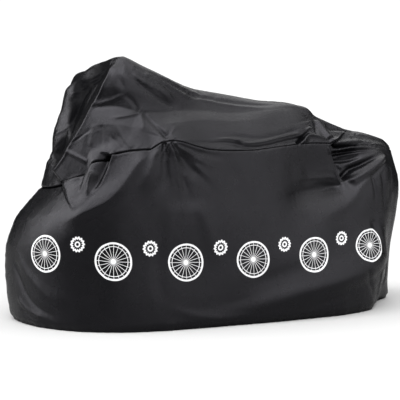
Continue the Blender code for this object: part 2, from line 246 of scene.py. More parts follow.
@dataclass
class CoverShape:
    """The outer skin as a grid of points on each side, from the tables.

    A grid is (row, column, xyz), from the hem up to the ridge and from the front centre seam to the
    rear one. The two sides share their first and last columns and their last row.
    """

    round_along: float = 0.85
    round_up: float = 0.75
    side_height: float = 0.74
    hood_height: float = 0.56
    jog_reach: float = 0.10
    along_pitch: tuple[Pair, ...] = (
        (0.00, 0.0070), (0.10, 0.0056), (0.16, 0.0046), (0.42, 0.0048), (0.48, 0.0085),
        (0.60, 0.0085), (0.68, 0.0050), (0.90, 0.0046), (1.00, 0.0070),
    )
    side_pitch: tuple[Pair, ...] = (
        (0.00, 0.0060), (0.05, 0.0100), (0.40, 0.0090), (0.60, 0.0052), (1.00, 0.0036),
    )
    hood_pitch: tuple[Pair, ...] = ((0.00, 0.0036), (0.30, 0.0046), (1.00, 0.0056))
    waist: int = field(init=False)

    def __post_init__(self) -> None:
        """Set the grid's columns and rows."""
        self.knots = lengths_along(self._side_net(Side.NEAR)[0])
        self.columns = graded(self.along_pitch, self.knots[-1]) * self.knots[-1]
        self.side_rows = graded(self.side_pitch, self.side_height)
        self.hood_rows = graded(self.hood_pitch, self.hood_height)
        self.waist = len(self.side_rows) - 1

    def _side_net(self, side: Side) -> np.ndarray:
        """Return the side panel's table as points: (level, section, xyz).

        Args:
            side: The side of the bicycle.

        Returns:
            The points.
        """
        net = np.zeros((len(LEVELS), len(SECTIONS), 3))
        for j, section in enumerate(SECTIONS):
            width = section.far if side is Side.FAR else 1.0
            for i, (level, half) in enumerate(zip(LEVELS, section.halves)):
                x = level.front + (level.rear - level.front) * section.share
                net[i, j] = (x, side.value * half * width, level.height * section.seam_z)
        return net

    def _hood_net(self, side: Side) -> np.ndarray:
        """Return the hood panel's table as points, with the waist seam first: (rail, section, xyz).

        Args:
            side: The side of the bicycle.

        Returns:
            The points.
        """
        net = np.zeros((len(HOOD_RAIL_HEIGHTS), len(SECTIONS), 3))
        for j, (section, hood) in enumerate(zip(SECTIONS, NEAR_HOOD)):
            crest = FAR_CREST.get(j, hood.crest) if side is Side.FAR else hood.crest
            width = section.far if side is Side.FAR else 1.0
            net[1:, j] = (hood.band, hood.crease, crest, hood.ridge)
            net[:, j, 1] *= side.value * width
        net[0] = self._side_net(side)[-1]
        return net

    def _run_along(self, net: np.ndarray, other_net: np.ndarray) -> np.ndarray:
        """Return the net with every row run through its sections and round into the other side's.

        Args:
            net: One side's points at the sections.
            other_net: The other side's.

        Returns:
            The first side's points at the grid's columns.
        """
        knots = self.knots
        loop = np.concatenate((other_net[:, 2:0:-1], net, other_net[:, -2:-4:-1]), axis=1)
        loop_knots = np.concatenate((-knots[2:0:-1], knots, 2 * knots[-1] - knots[-2:-4:-1]))
        return smooth_curve(loop_knots, loop.swapaxes(0, 1), self.columns, self.round_along).swapaxes(0, 1)

    def _skin(self, side: Side) -> np.ndarray:
        """Return one side's grid, without jogs or folds.

        Args:
            side: The side of the bicycle.

        Returns:
            The grid.
        """
        sides = self._run_along(self._side_net(side), self._side_net(side.other))
        hood = self._run_along(self._hood_net(side), self._hood_net(side.other))
        other_hood = self._run_along(self._hood_net(side.other), self._hood_net(side))
        levels = np.array([level.height for level in LEVELS])
        lower = smooth_curve(levels, sides, self.side_rows, self.round_up)
        rails = np.array(HOOD_RAIL_HEIGHTS)
        rails_over = np.append(rails, 2 * rails[-1] - rails[-2])
        hood_over = np.concatenate((hood, other_hood[-2:-1]))
        upper = smooth_curve(rails_over, hood_over, self.hood_rows, self.round_up)
        return np.concatenate((lower, upper[1:]))

    def _jogged(self, grid: np.ndarray) -> np.ndarray:
        """Return the near grid with its waist seam pushed up or down where it jogs.

        Args:
            grid: The near side's grid.

        Returns:
            The pushed grid.
        """
        moved = grid.copy()
        seam = grid[self.waist]
        x, lift = np.array(JOGS).T
        lifts = np.interp(seam[:, 0], x, lift) * (seam[:, 1] < 0.0)
        away = np.abs(grid[..., 2] - seam[None, :, 2])
        moved[..., 2] += lifts[None, :] * smooth_step(1.0 - away / self.jog_reach)
        return moved

    def skins(self) -> list[np.ndarray]:
        """Return the near and the far grid, in the frame's coordinates."""
        near, far = self._jogged(self._skin(Side.NEAR)), self._skin(Side.FAR)
        return [grid - np.array((MIDDLE_X, 0.0, 0.0)) for grid in (near, far)]

    @staticmethod
    def normals(skins: Sequence[np.ndarray]) -> list[np.ndarray]:
        """Return the outward unit normals of both grids, shared where they meet.

        Args:
            skins: Both sides' grids.

        Returns:
            The normals, laid out as the grids are.
        """
        sums = []
        for side, grid in zip(Side, skins):
            faces = np.cross(grid[1:, :-1] - grid[:-1, 1:], grid[1:, 1:] - grid[:-1, :-1]) * side.value
            total = np.zeros_like(grid)
            for rows in (slice(None, -1), slice(1, None)):
                for columns in (slice(None, -1), slice(1, None)):
                    total[rows, columns] += faces
            sums.append(total)
        for edge in (np.s_[:, 0], np.s_[:, -1], np.s_[-1, :]):
            sums[0][edge] = sums[1][edge] = sums[0][edge] + sums[1][edge]
        return [total / np.maximum(np.linalg.norm(total, axis=-1, keepdims=True), 1e-12) for total in sums]


class Face(Enum):
    """A way to look at the cover: the two axes that a path is drawn in, and the way it faces."""

    NEAR = ((0, 2), (0.0, -1.0, 0.0))
    FAR = ((0, 2), (0.0, 1.0, 0.0))
    TOP = ((0, 1), (0.0, 0.0, 1.0))
    FRONT = ((1, 2), (-1.0, 0.0, 0.0))
    REAR = ((1, 2), (1.0, 0.0, 0.0))


class Profile(Enum):
    """The shape across a fold: round, crisp with hollow slopes, crisp with straight ones, or a cliff."""

    SOFT = "soft"
    SHARP = "sharp"
    TENT = "tent"
    LAP = "lap"


@dataclass(frozen=True)
class Fold:
    """A ridge, or with a negative height a trough, along a path of points drawn on a face.

    Width and height go from the path's first point to its last, and fade says over which share of
    the path it rises and dies away. Right and left are those of someone who walks the path on the
    cloth's outside. A LAP is a cliff along the path, with its long slope on the right. A lean above 0
    makes the right slope wider and the left one narrower, by that share.
    """

    face: Face
    path: tuple[Pair, ...]
    width: Pair
    height: Pair
    profile: Profile = Profile.SOFT
    fade: Pair = (0.12, 0.25)
    lean: float = 0.0


@dataclass(frozen=True)
class Fan:
    """Small creases that spread from an apex, between the directions of two points."""

    face: Face
    apex: Pair
    first: Pair
    last: Pair
    count: int
    width: Pair
    height: float
    seed: int
    gap: float = 0.08

    def folds(self) -> Iterable[Fold]:
        """Draw the fan's creases, ridges and troughs by turns.

        Returns:
            The creases, one by one.
        """
        draw = random.Random(self.seed)
        for k in range(self.count):
            share = (k + 0.5 + draw.uniform(-0.3, 0.3)) / self.count
            reach = draw.uniform(0.6, 1.0)
            start = self.gap + draw.uniform(0.0, 0.12)
            x, y = (a + (b - a) * share - c for a, b, c in zip(self.first, self.last, self.apex))
            bow = draw.uniform(-0.04, 0.04)
            path = tuple(
                (
                    self.apex[0] + x * at - y * bow * math.sin(math.pi * at),
                    self.apex[1] + y * at + x * bow * math.sin(math.pi * at),
                )
                for at in (start, (start + reach) / 2, reach)
            )
            height = (1 if k % 2 else -1) * self.height * draw.uniform(0.5, 1.0)
            width = tuple(w * draw.uniform(0.8, 1.2) for w in self.width)
            yield Fold(self.face, path, width, (height, height * 0.4), Profile.SHARP, (0.2, 0.5))


@dataclass(frozen=True)
class Crumple:
    """A patch of small facets with crisp edges, round a point of the cover."""

    centre: Point
    reach: float
    facet: float
    height: float
    seed: int


NEAR, FAR, TOP, FRONT, REAR = Face
SOFT, SHARP, TENT, LAP = Profile

MAIN_FOLDS = (
    Fold(NEAR, ((-0.35, 0.68), (-0.45, 0.57), (-0.57, 0.46), (-0.71, 0.39), (-0.85, 0.35)), (0.10, 0.12),
         (0.006, 0.005)),
    Fold(NEAR, ((-0.22, 0.70), (-0.22, 0.45)), (0.08, 0.16), (-0.012, -0.004)),
    Fold(NEAR, ((0.54, 0.545), (0.39, 0.53), (0.22, 0.50)), (0.07, 0.10), (-0.010, -0.004)),
    Fold(NEAR, ((0.80, 0.66), (0.66, 0.52), (0.45, 0.41), (0.25, 0.32)), (0.10, 0.14), (0.022, 0.018)),
    Fold(NEAR, ((0.56, 0.70), (0.58, 0.60)), (0.11, 0.08), (-0.024, -0.012)),
    Fold(NEAR, ((0.78, 0.27), (0.55, 0.19), (0.36, 0.14), (0.17, 0.08), (-0.05, 0.03)), (0.14, 0.12),
         (0.026, 0.012)),
    Fold(FAR, ((-0.44, 0.58), (-0.62, 0.40), (-0.80, 0.34)), (0.12, 0.12), (0.014, 0.010)),
    Fold(FAR, ((-0.22, 0.68), (-0.16, 0.40), (-0.10, 0.15)), (0.09, 0.18), (-0.014, -0.006)),
    Fold(FAR, ((0.30, 0.66), (0.12, 0.45), (-0.05, 0.30)), (0.12, 0.16), (0.012, 0.008)),
    Fold(FAR, ((0.46, 0.66), (0.44, 0.46), (0.38, 0.30)), (0.10, 0.14), (-0.022, -0.008)),
    Fold(FAR, ((0.82, 0.62), (0.66, 0.42), (0.45, 0.25)), (0.12, 0.15), (0.012, 0.010)),
)
SIDE_FOLDS = (
    # The shoulder in front, from the hood down to the front wheel.
    Fold(NEAR, ((-0.35, 0.69), (-0.40, 0.66), (-0.45, 0.60), (-0.48, 0.56), (-0.53, 0.51), (-0.62, 0.46),
          (-0.71, 0.41)), (0.055, 0.055), (0.011, 0.010), SHARP, (0.15, 0.25), 0.35),
    # The tuck under the jog of the waist seam: a deep trough between a thin lip and a ridge.
    Fold(NEAR, ((-0.520, 0.685), (-0.548, 0.62), (-0.580, 0.56), (-0.605, 0.53)), (0.030, 0.024),
         (-0.030, -0.010), SOFT, (0.05, 0.35), 0.25),
    Fold(NEAR, ((-0.503, 0.690), (-0.520, 0.655), (-0.540, 0.625)), (0.014, 0.010), (0.009, 0.005), SHARP,
         (0.1, 0.2)),
    Fold(NEAR, ((-0.575, 0.615), (-0.592, 0.57), (-0.608, 0.52)), (0.020, 0.020), (0.014, 0.006), SHARP,
         (0.1, 0.3)),
    Fold(NEAR, ((-0.612, 0.60), (-0.622, 0.55), (-0.65, 0.49)), (0.030, 0.035), (-0.005, -0.003), SHARP,
         (0.2, 0.4)),
    Fold(NEAR, ((-0.58, 0.60), (-0.66, 0.555), (-0.72, 0.50)), (0.020, 0.030), (0.004, 0.003), SHARP,
         (0.2, 0.4)),
    # Pleats that hang from the seam's highest point.
    Fold(NEAR, ((-0.305, 0.735), (-0.308, 0.67), (-0.31, 0.61), (-0.34, 0.50)), (0.014, 0.045),
         (-0.013, -0.003), SOFT, (0.03, 0.4)),
    Fold(NEAR, ((-0.335, 0.705), (-0.37, 0.62), (-0.41, 0.52)), (0.018, 0.050), (0.008, 0.003), SHARP,
         (0.1, 0.4)),
    Fold(NEAR, ((-0.285, 0.735), (-0.26, 0.65), (-0.25, 0.55)), (0.014, 0.045), (0.007, 0.002), SHARP,
         (0.05, 0.4)),
    Fold(NEAR, ((-0.28, 0.735), (-0.24, 0.68), (-0.19, 0.61), (-0.15, 0.54)), (0.014, 0.050),
         (-0.010, -0.002), SOFT, (0.03, 0.4)),
    Fold(NEAR, ((-0.27, 0.73), (-0.19, 0.675), (-0.08, 0.62)), (0.012, 0.040), (0.005, 0.002), SHARP,
         (0.05, 0.4)),
    Fold(NEAR, ((-0.26, 0.725), (-0.14, 0.685), (0.00, 0.66)), (0.012, 0.030), (-0.006, -0.002), SOFT,
         (0.05, 0.4)),
    # The valley from behind the saddle forwards, and the shoulder below it.
    Fold(NEAR, ((0.545, 0.545), (0.48, 0.543), (0.39, 0.532), (0.25, 0.51), (0.12, 0.46)), (0.040, 0.070),
         (-0.012, -0.003), SHARP, (0.05, 0.5), -0.45),
    Fold(NEAR, ((0.53, 0.575), (0.40, 0.575), (0.22, 0.56)), (0.020, 0.040), (0.005, 0.002), SHARP,
         (0.2, 0.4)),
    Fold(NEAR, ((0.81, 0.665), (0.73, 0.62), (0.64, 0.545), (0.55, 0.46), (0.42, 0.41), (0.28, 0.365)),
         (0.05, 0.08), (0.010, 0.006), SHARP, (0.05, 0.4), 0.4),
    # The pocket behind the saddle, which the side's cloth laps over.
    Fold(NEAR, ((0.540, 0.548), (0.520, 0.60), (0.500, 0.67), (0.480, 0.712)), (0.14, 0.24), (-0.016, -0.022),
         LAP, (0.12, 0.03)),
    Fold(NEAR, ((0.478, 0.712), (0.498, 0.66), (0.520, 0.59), (0.536, 0.55)), (0.012, 0.010), (0.005, 0.004),
         SHARP, (0.05, 0.1), 0.5),
    Fold(NEAR, ((0.530, 0.595), (0.545, 0.560)), (0.010, 0.008), (0.009, 0.006), SHARP, (0.1, 0.1)),
    # The fingers of cloth that run from the pocket to the rear top corner.
    Fold(NEAR, ((0.51, 0.712), (0.65, 0.717), (0.80, 0.697)), (0.016, 0.010), (-0.012, -0.003), SOFT,
         (0.05, 0.2)),
    Fold(NEAR, ((0.52, 0.690), (0.58, 0.702), (0.65, 0.706), (0.77, 0.700)), (0.016, 0.010), (0.012, 0.004),
         SHARP, (0.1, 0.3)),
    Fold(NEAR, ((0.51, 0.675), (0.60, 0.690), (0.72, 0.692)), (0.012, 0.008), (-0.010, -0.003), SOFT,
         (0.05, 0.3)),
    Fold(NEAR, ((0.53, 0.665), (0.58, 0.675), (0.69, 0.684), (0.78, 0.686)), (0.014, 0.009), (0.010, 0.003),
         SHARP, (0.1, 0.3)),
    Fold(NEAR, ((0.51, 0.645), (0.56, 0.648), (0.66, 0.670)), (0.014, 0.010), (-0.012, -0.003), SOFT,
         (0.05, 0.3)),
    Fold(NEAR, ((0.53, 0.610), (0.62, 0.645), (0.72, 0.670), (0.79, 0.682)), (0.030, 0.012), (0.016, 0.004),
         TENT, (0.1, 0.3), -0.3),
    Fold(NEAR, ((0.545, 0.57), (0.57, 0.595), (0.65, 0.630), (0.76, 0.668)), (0.018, 0.012), (-0.020, -0.004),
         SOFT, (0.05, 0.3)),
    Fold(NEAR, ((0.560, 0.545), (0.66, 0.595), (0.74, 0.640), (0.80, 0.678)), (0.045, 0.018), (0.020, 0.007),
         TENT, (0.12, 0.2), -0.3),
    Fold(NEAR, ((0.64, 0.55), (0.73, 0.61), (0.80, 0.665)), (0.024, 0.014), (-0.007, -0.003), SHARP,
         (0.3, 0.2)),
    # Small upright folds below the rear corner.
    Fold(NEAR, ((0.675, 0.585), (0.685, 0.51), (0.68, 0.44)), (0.018, 0.022), (-0.007, -0.003), SHARP,
         (0.2, 0.4)),
    Fold(NEAR, ((0.73, 0.60), (0.735, 0.51), (0.74, 0.42)), (0.018, 0.022), (-0.006, -0.003), SHARP,
         (0.2, 0.4)),
    Fold(NEAR, ((0.79, 0.64), (0.80, 0.55), (0.81, 0.44)), (0.016, 0.020), (0.006, 0.003), SHARP, (0.2, 0.4)),
    Fold(NEAR, ((0.66, 0.40), (0.69, 0.30), (0.71, 0.20)), (0.030, 0.030), (-0.006, -0.004)),
    Fold(NEAR, ((0.74, 0.28), (0.79, 0.14), (0.76, 0.05)), (0.020, 0.025), (-0.009, -0.006), SHARP,
         (0.2, 0.2)),
    Fold(NEAR, ((0.57, 0.20), (0.62, 0.12), (0.66, 0.06)), (0.025, 0.025), (-0.005, -0.004), SHARP,
         (0.3, 0.3)),
    Fold(NEAR, ((0.70, 0.20), (0.71, 0.11), (0.69, 0.03)), (0.022, 0.022), (0.006, 0.005), SHARP, (0.2, 0.2)),
    # Long soft folds that hang between the two corners.
    Fold(NEAR, ((0.75, 0.22), (0.51, 0.16), (0.21, 0.11), (-0.07, 0.055), (-0.30, 0.05)), (0.060, 0.040),
         (0.009, 0.004), SOFT, (0.1, 0.3)),
    Fold(NEAR, ((0.76, 0.18), (0.59, 0.12), (0.36, 0.07), (0.17, 0.035)), (0.030, 0.030), (-0.005, -0.003),
         SOFT, (0.2, 0.3)),
    Fold(NEAR, ((0.10, 0.045), (-0.10, 0.035), (-0.26, 0.07), (-0.38, 0.12)), (0.025, 0.035), (0.005, 0.002),
         SHARP, (0.3, 0.4)),
    Fold(NEAR, ((0.70, 0.33), (0.45, 0.24), (0.20, 0.19), (-0.10, 0.12)), (0.050, 0.050), (-0.004, -0.002),
         SOFT, (0.2, 0.4)),
    Fold(NEAR, ((-0.30, 0.50), (-0.34, 0.36), (-0.35, 0.20), (-0.33, 0.06)), (0.040, 0.050), (-0.004, -0.003),
         SOFT, (0.3, 0.3)),
    Fold(NEAR, ((-0.18, 0.52), (-0.13, 0.36), (-0.10, 0.20)), (0.040, 0.050), (0.004, 0.002), SOFT,
         (0.3, 0.4)),
    # Faint folds that hang from the middle of the seam.
    Fold(NEAR, ((-0.17, 0.66), (-0.17, 0.50), (-0.14, 0.36)), (0.05, 0.08), (0.004, 0.002), SOFT, (0.3, 0.5)),
    Fold(NEAR, ((-0.04, 0.68), (0.00, 0.52), (0.01, 0.38)), (0.05, 0.09), (-0.005, -0.002), SOFT, (0.3, 0.5)),
    Fold(NEAR, ((0.16, 0.68), (0.20, 0.58), (0.22, 0.50)), (0.04, 0.07), (-0.003, -0.002), SOFT, (0.3, 0.5)),
    Fold(NEAR, ((0.30, 0.64), (0.32, 0.59), (0.31, 0.54)), (0.05, 0.06), (0.005, 0.003), SOFT, (0.4, 0.5)),
    # The front corner.
    Fold(NEAR, ((-0.87, 0.27), (-0.85, 0.18), (-0.81, 0.10), (-0.71, 0.04)), (0.022, 0.030), (-0.008, -0.005),
         SHARP, (0.2, 0.3)),
    Fold(NEAR, ((-0.86, 0.30), (-0.83, 0.22), (-0.76, 0.14), (-0.64, 0.09)), (0.030, 0.040), (0.006, 0.003),
         SOFT, (0.2, 0.4)),
    Fold(NEAR, ((-0.86, 0.12), (-0.83, 0.07), (-0.76, 0.03)), (0.018, 0.022), (0.006, 0.004), SHARP,
         (0.2, 0.3)),
    Fold(NEAR, ((-0.85, 0.07), (-0.80, 0.04), (-0.73, 0.015)), (0.012, 0.016), (-0.005, -0.003), SHARP,
         (0.2, 0.3)),
)
HOOD_FOLDS = (
    # The sharp edge between the near side and the front, and the hollow beside it.
    Fold(NEAR, ((-0.460, 1.05), (-0.496, 0.97), (-0.520, 0.92), (-0.545, 0.87), (-0.584, 0.79),
          (-0.628, 0.71), (-0.661, 0.64), (-0.693, 0.58)), (0.090, 0.150), (0.016, 0.042), TENT, (0.10, 0.08),
         -0.50),
    Fold(NEAR, ((-0.470, 1.045), (-0.517, 1.010), (-0.566, 0.960), (-0.603, 0.900), (-0.628, 0.845),
          (-0.653, 0.780), (-0.679, 0.705), (-0.706, 0.630)), (0.080, 0.130), (-0.018, -0.032), TENT,
         (0.12, 0.12), 0.30),
    Fold(NEAR, ((-0.462, 1.05), (-0.498, 0.97), (-0.522, 0.92), (-0.547, 0.87), (-0.586, 0.79),
          (-0.630, 0.71), (-0.663, 0.64), (-0.695, 0.58)), (0.018, 0.022), (0.004, 0.004), SHARP,
         (0.05, 0.08), 0.3),
    Fold(FRONT, ((-0.10, 0.850), (0.03, 0.840)), (0.075, 0.075), (0.006, 0.006), SOFT, (0.2, 0.3)),
    Fold(FRONT, ((-0.11, 0.785), (-0.04, 0.76), (0.06, 0.75)), (0.12, 0.12), (0.015, 0.015), SOFT,
         (0.2, 0.3)),
    Fold(FRONT, ((-0.05, 0.975), (-0.14, 1.00), (-0.22, 1.03)), (0.014, 0.010), (0.003, 0.002), SHARP),
    Fold(FRONT, ((-0.04, 0.955), (-0.12, 0.975), (-0.19, 1.00)), (0.012, 0.010), (-0.003, -0.002), SHARP),
    Fold(FRONT, ((-0.03, 0.93), (-0.11, 0.955), (-0.16, 0.98)), (0.014, 0.010), (0.003, 0.002), SHARP),
    Fold(FRONT, ((-0.02, 0.90), (-0.10, 0.92), (-0.15, 0.95)), (0.014, 0.012), (-0.002, -0.002), SHARP),
    Fold(FRONT, ((-0.01, 0.76), (-0.06, 0.785), (-0.11, 0.83)), (0.014, 0.012), (0.004, 0.002), SHARP),
    Fold(FRONT, ((0.00, 0.70), (-0.04, 0.72), (-0.08, 0.76)), (0.012, 0.012), (-0.003, -0.002), SHARP),
    # The level crease from the front edge back to the saddle.
    Fold(NEAR, ((-0.56, 0.862), (-0.48, 0.870), (-0.39, 0.855), (-0.33, 0.855), (-0.15, 0.866), (0.05, 0.856),
          (0.19, 0.866), (0.32, 0.882)), (0.080, 0.040), (-0.010, -0.003), TENT, (0.05, 0.3)),
    Fold(NEAR, ((-0.56, 0.862), (-0.48, 0.870), (-0.39, 0.855), (-0.33, 0.855), (-0.15, 0.866)),
         (0.010, 0.012), (-0.002, -0.001), SHARP, (0.05, 0.3)),
    Fold(NEAR, ((-0.56, 0.868), (-0.50, 0.888), (-0.43, 0.922)), (0.012, 0.008), (0.005, 0.003), SHARP,
         (0.1, 0.3)),
    # Lines that meet on it.
    Fold(NEAR, ((-0.39, 0.855), (-0.41, 0.89), (-0.46, 0.93)), (0.014, 0.010), (-0.004, -0.002), SHARP,
         (0.05, 0.4)),
    Fold(NEAR, ((-0.385, 0.853), (-0.45, 0.832), (-0.51, 0.82)), (0.014, 0.014), (0.005, 0.002), SHARP,
         (0.05, 0.4)),
    Fold(NEAR, ((-0.385, 0.85), (-0.38, 0.80), (-0.39, 0.76)), (0.014, 0.022), (0.003, 0.002), SHARP,
         (0.05, 0.4)),
    Fold(NEAR, ((-0.38, 0.852), (-0.34, 0.81), (-0.31, 0.77), (-0.292, 0.745)), (0.030, 0.022),
         (-0.003, -0.008), SHARP, (0.15, 0.05), -0.3),
    Fold(NEAR, ((-0.36, 0.852), (-0.32, 0.80), (-0.28, 0.76)), (0.020, 0.016), (0.003, 0.003), SHARP,
         (0.1, 0.2)),
    # The facets of the lit corner under the front edge.
    Fold(NEAR, ((-0.65, 0.693), (-0.605, 0.735), (-0.55, 0.785)), (0.014, 0.012), (-0.0035, -0.002), SHARP,
         (0.1, 0.3), -0.3),
    Fold(NEAR, ((-0.65, 0.690), (-0.61, 0.665), (-0.58, 0.645)), (0.014, 0.012), (0.005, 0.005), SHARP,
         (0.15, 0.05)),
    Fold(NEAR, ((-0.645, 0.695), (-0.615, 0.73), (-0.585, 0.76)), (0.014, 0.012), (0.004, 0.002), SHARP,
         (0.05, 0.3)),
    Fold(NEAR, ((-0.530, 0.80), (-0.530, 0.76), (-0.544, 0.69)), (0.016, 0.026), (-0.003, -0.003), SHARP,
         (0.15, 0.2), 0.3),
    Fold(NEAR, ((-0.552, 0.80), (-0.558, 0.75), (-0.575, 0.70)), (0.020, 0.024), (0.002, 0.002), SHARP,
         (0.2, 0.2)),
    Fold(NEAR, ((-0.51, 0.765), (-0.490, 0.73), (-0.470, 0.702)), (0.018, 0.012), (-0.003, -0.003), SHARP,
         (0.4, 0.1)),
    Fold(NEAR, ((-0.49, 0.81), (-0.46, 0.75), (-0.43, 0.705)), (0.030, 0.020), (0.003, 0.003), SHARP,
         (0.4, 0.1)),
    # Lines that run from the grip's peak down to the saddle's side.
    Fold(NEAR, ((-0.45, 1.045), (-0.41, 0.995), (-0.33, 0.955), (-0.26, 0.91), (-0.245, 0.885)),
         (0.012, 0.016), (0.009, 0.006), SHARP, (0.15, 0.2), -0.2),
    Fold(NEAR, ((-0.44, 1.03), (-0.36, 0.945), (-0.29, 0.90), (-0.20, 0.870)), (0.016, 0.026),
         (-0.009, -0.006), SHARP, (0.15, 0.2)),
    Fold(NEAR, ((-0.42, 1.04), (-0.28, 0.95), (-0.22, 0.885)), (0.012, 0.014), (0.006, 0.005), SHARP,
         (0.15, 0.2)),
    Fold(NEAR, ((-0.40, 1.03), (-0.29, 0.97), (-0.18, 0.90)), (0.012, 0.016), (-0.006, -0.004), SHARP,
         (0.05, 0.2)),
    Fold(NEAR, ((-0.36, 1.01), (-0.24, 0.955), (-0.13, 0.895)), (0.012, 0.014), (0.005, 0.003), SHARP,
         (0.1, 0.2)),
    Fold(NEAR, ((-0.33, 1.00), (-0.22, 0.96), (-0.10, 0.91)), (0.010, 0.014), (-0.004, -0.003), SHARP,
         (0.1, 0.2)),
    Fold(NEAR, ((-0.30, 1.00), (-0.20, 0.965), (-0.06, 0.915)), (0.010, 0.014), (0.005, 0.003), SHARP,
         (0.1, 0.3)),
    Fold(NEAR, ((-0.46, 1.02), (-0.455, 0.97), (-0.43, 0.92)), (0.020, 0.026), (-0.004, -0.002), SHARP,
         (0.1, 0.4)),
    # The flap that lies along the seam, and the slit and facets behind it.
    Fold(NEAR, ((-0.26, 0.735), (-0.10, 0.733), (0.01, 0.730), (0.06, 0.716), (0.12, 0.716), (0.23, 0.737),
          (0.34, 0.757), (0.39, 0.776)), (0.030, 0.034), (-0.003, -0.010), LAP, (0.4, 0.1)),
    Fold(NEAR, ((-0.10, 0.742), (0.01, 0.741), (0.06, 0.726), (0.12, 0.727), (0.23, 0.748), (0.34, 0.768)),
         (0.010, 0.010), (0.005, 0.007), SHARP, (0.2, 0.1)),
    Fold(NEAR, ((-0.06, 0.756), (0.03, 0.756), (0.12, 0.745), (0.23, 0.762), (0.34, 0.785)), (0.022, 0.020),
         (-0.004, -0.005), SHARP, (0.3, 0.1)),
    Fold(NEAR, ((0.015, 0.745), (0.035, 0.728), (0.045, 0.712)), (0.012, 0.010), (0.006, 0.005), SHARP,
         (0.2, 0.1)),
    Fold(NEAR, ((0.305, 0.722), (0.34, 0.745), (0.40, 0.785)), (0.014, 0.010), (-0.018, -0.009), SHARP,
         (0.05, 0.3)),
    Fold(NEAR, ((0.34, 0.725), (0.375, 0.757), (0.42, 0.752), (0.48, 0.735)), (0.018, 0.016), (0.012, 0.008),
         SHARP, (0.05, 0.2)),
    Fold(NEAR, ((0.452, 0.820), (0.440, 0.79), (0.425, 0.762)), (0.018, 0.022), (-0.010, -0.012), SHARP,
         (0.3, 0.1)),
    Fold(NEAR, ((0.456, 0.830), (0.470, 0.78), (0.488, 0.735)), (0.024, 0.030), (0.014, 0.018), TENT,
         (0.2, 0.1), -0.3),
    Fold(TOP, ((0.415, -0.10), (0.425, 0.00), (0.415, 0.10)), (0.055, 0.055), (0.010, 0.010), SOFT,
         (0.2, 0.2)),
    Fold(NEAR, ((0.37, 0.775), (0.40, 0.790), (0.43, 0.765)), (0.014, 0.010), (0.006, 0.004), SHARP,
         (0.1, 0.1)),
    Fold(NEAR, ((0.70, 0.728), (0.60, 0.728), (0.485, 0.724)), (0.032, 0.044), (0.008, 0.018), LAP,
         (0.3, 0.08)),
    Fold(NEAR, ((0.50, 0.796), (0.60, 0.787), (0.74, 0.766)), (0.030, 0.016), (-0.014, -0.005), TENT,
         (0.1, 0.3)),
    Fold(NEAR, ((0.51, 0.722), (0.62, 0.728), (0.75, 0.722)), (0.012, 0.010), (-0.008, -0.004), SOFT,
         (0.05, 0.3)),
    Fold(NEAR, ((0.66, 0.762), (0.71, 0.755), (0.76, 0.735)), (0.012, 0.010), (0.006, 0.004), SHARP,
         (0.2, 0.2)),
    # Long shallow lines on the top between the grips and the saddle.
    Fold(NEAR, ((-0.17, 0.93), (-0.02, 0.905), (0.16, 0.890), (0.32, 0.893)), (0.020, 0.024),
         (-0.005, -0.003), SHARP, (0.1, 0.3)),
    Fold(NEAR, ((-0.12, 0.91), (0.04, 0.885), (0.22, 0.876)), (0.016, 0.020), (0.004, 0.002), SHARP,
         (0.1, 0.3)),
)
FAR_FOLDS = (
    Fold(FAR, ((-0.30, 0.73), (-0.36, 0.60), (-0.45, 0.46)), (0.016, 0.060), (0.010, 0.004)),
    Fold(FAR, ((-0.28, 0.73), (-0.26, 0.58), (-0.22, 0.44)), (0.014, 0.050), (-0.011, -0.004)),
    Fold(FAR, ((-0.26, 0.72), (-0.12, 0.60), (0.02, 0.50)), (0.014, 0.060), (0.008, 0.003)),
    Fold(FAR, ((-0.56, 0.60), (-0.52, 0.50), (-0.50, 0.38)), (0.020, 0.050), (-0.014, -0.005)),
    Fold(FAR, ((0.50, 0.70), (0.46, 0.60), (0.38, 0.52)), (0.020, 0.050), (-0.014, -0.005)),
    Fold(FAR, ((0.80, 0.68), (0.66, 0.62), (0.50, 0.60)), (0.014, 0.030), (0.011, 0.005), SHARP),
    Fold(FAR, ((0.80, 0.68), (0.64, 0.55), (0.48, 0.46)), (0.016, 0.040), (0.011, 0.005), SHARP),
    Fold(FAR, ((0.79, 0.66), (0.66, 0.58), (0.54, 0.54)), (0.014, 0.030), (-0.009, -0.004)),
    Fold(FAR, ((-0.55, 0.86), (-0.37, 0.85), (-0.10, 0.85), (0.16, 0.86)), (0.020, 0.030), (-0.006, -0.003),
         SHARP),
    Fold(FAR, ((-0.50, 1.01), (-0.38, 0.93), (-0.28, 0.87)), (0.018, 0.030), (0.007, 0.003), SHARP),
    Fold(FAR, ((-0.30, 0.745), (-0.38, 0.85)), (0.020, 0.014), (-0.008, -0.004), SHARP),
    Fold(FAR, ((0.02, 0.72), (0.20, 0.74), (0.38, 0.79)), (0.014, 0.016), (0.007, 0.010), SHARP),
    Fold(FAR, ((0.66, 0.30), (0.40, 0.17), (0.10, 0.12)), (0.07, 0.08), (0.007, 0.004)),
    Fold(FAR, ((-0.78, 0.25), (-0.60, 0.14), (-0.35, 0.09)), (0.06, 0.07), (0.006, 0.004)),
    Fold(FAR, ((0.74, 0.34), (0.75, 0.18), (0.77, 0.05)), (0.020, 0.025), (-0.007, -0.005)),
    Fold(TOP, ((-0.46, -0.16), (-0.47, 0.00), (-0.50, 0.10)), (0.040, 0.040), (0.006, 0.004)),
    Fold(TOP, ((-0.60, -0.12), (-0.60, -0.03), (-0.59, 0.06)), (0.060, 0.060), (-0.014, -0.014), SOFT,
         (0.3, 0.3)),
    Fold(TOP, ((-0.44, -0.16), (-0.34, -0.05), (-0.16, 0.00)), (0.016, 0.020), (0.005, 0.002), SHARP),
    Fold(TOP, ((-0.46, 0.16), (-0.34, 0.06), (-0.16, 0.01)), (0.016, 0.020), (0.005, 0.002), SHARP),
)
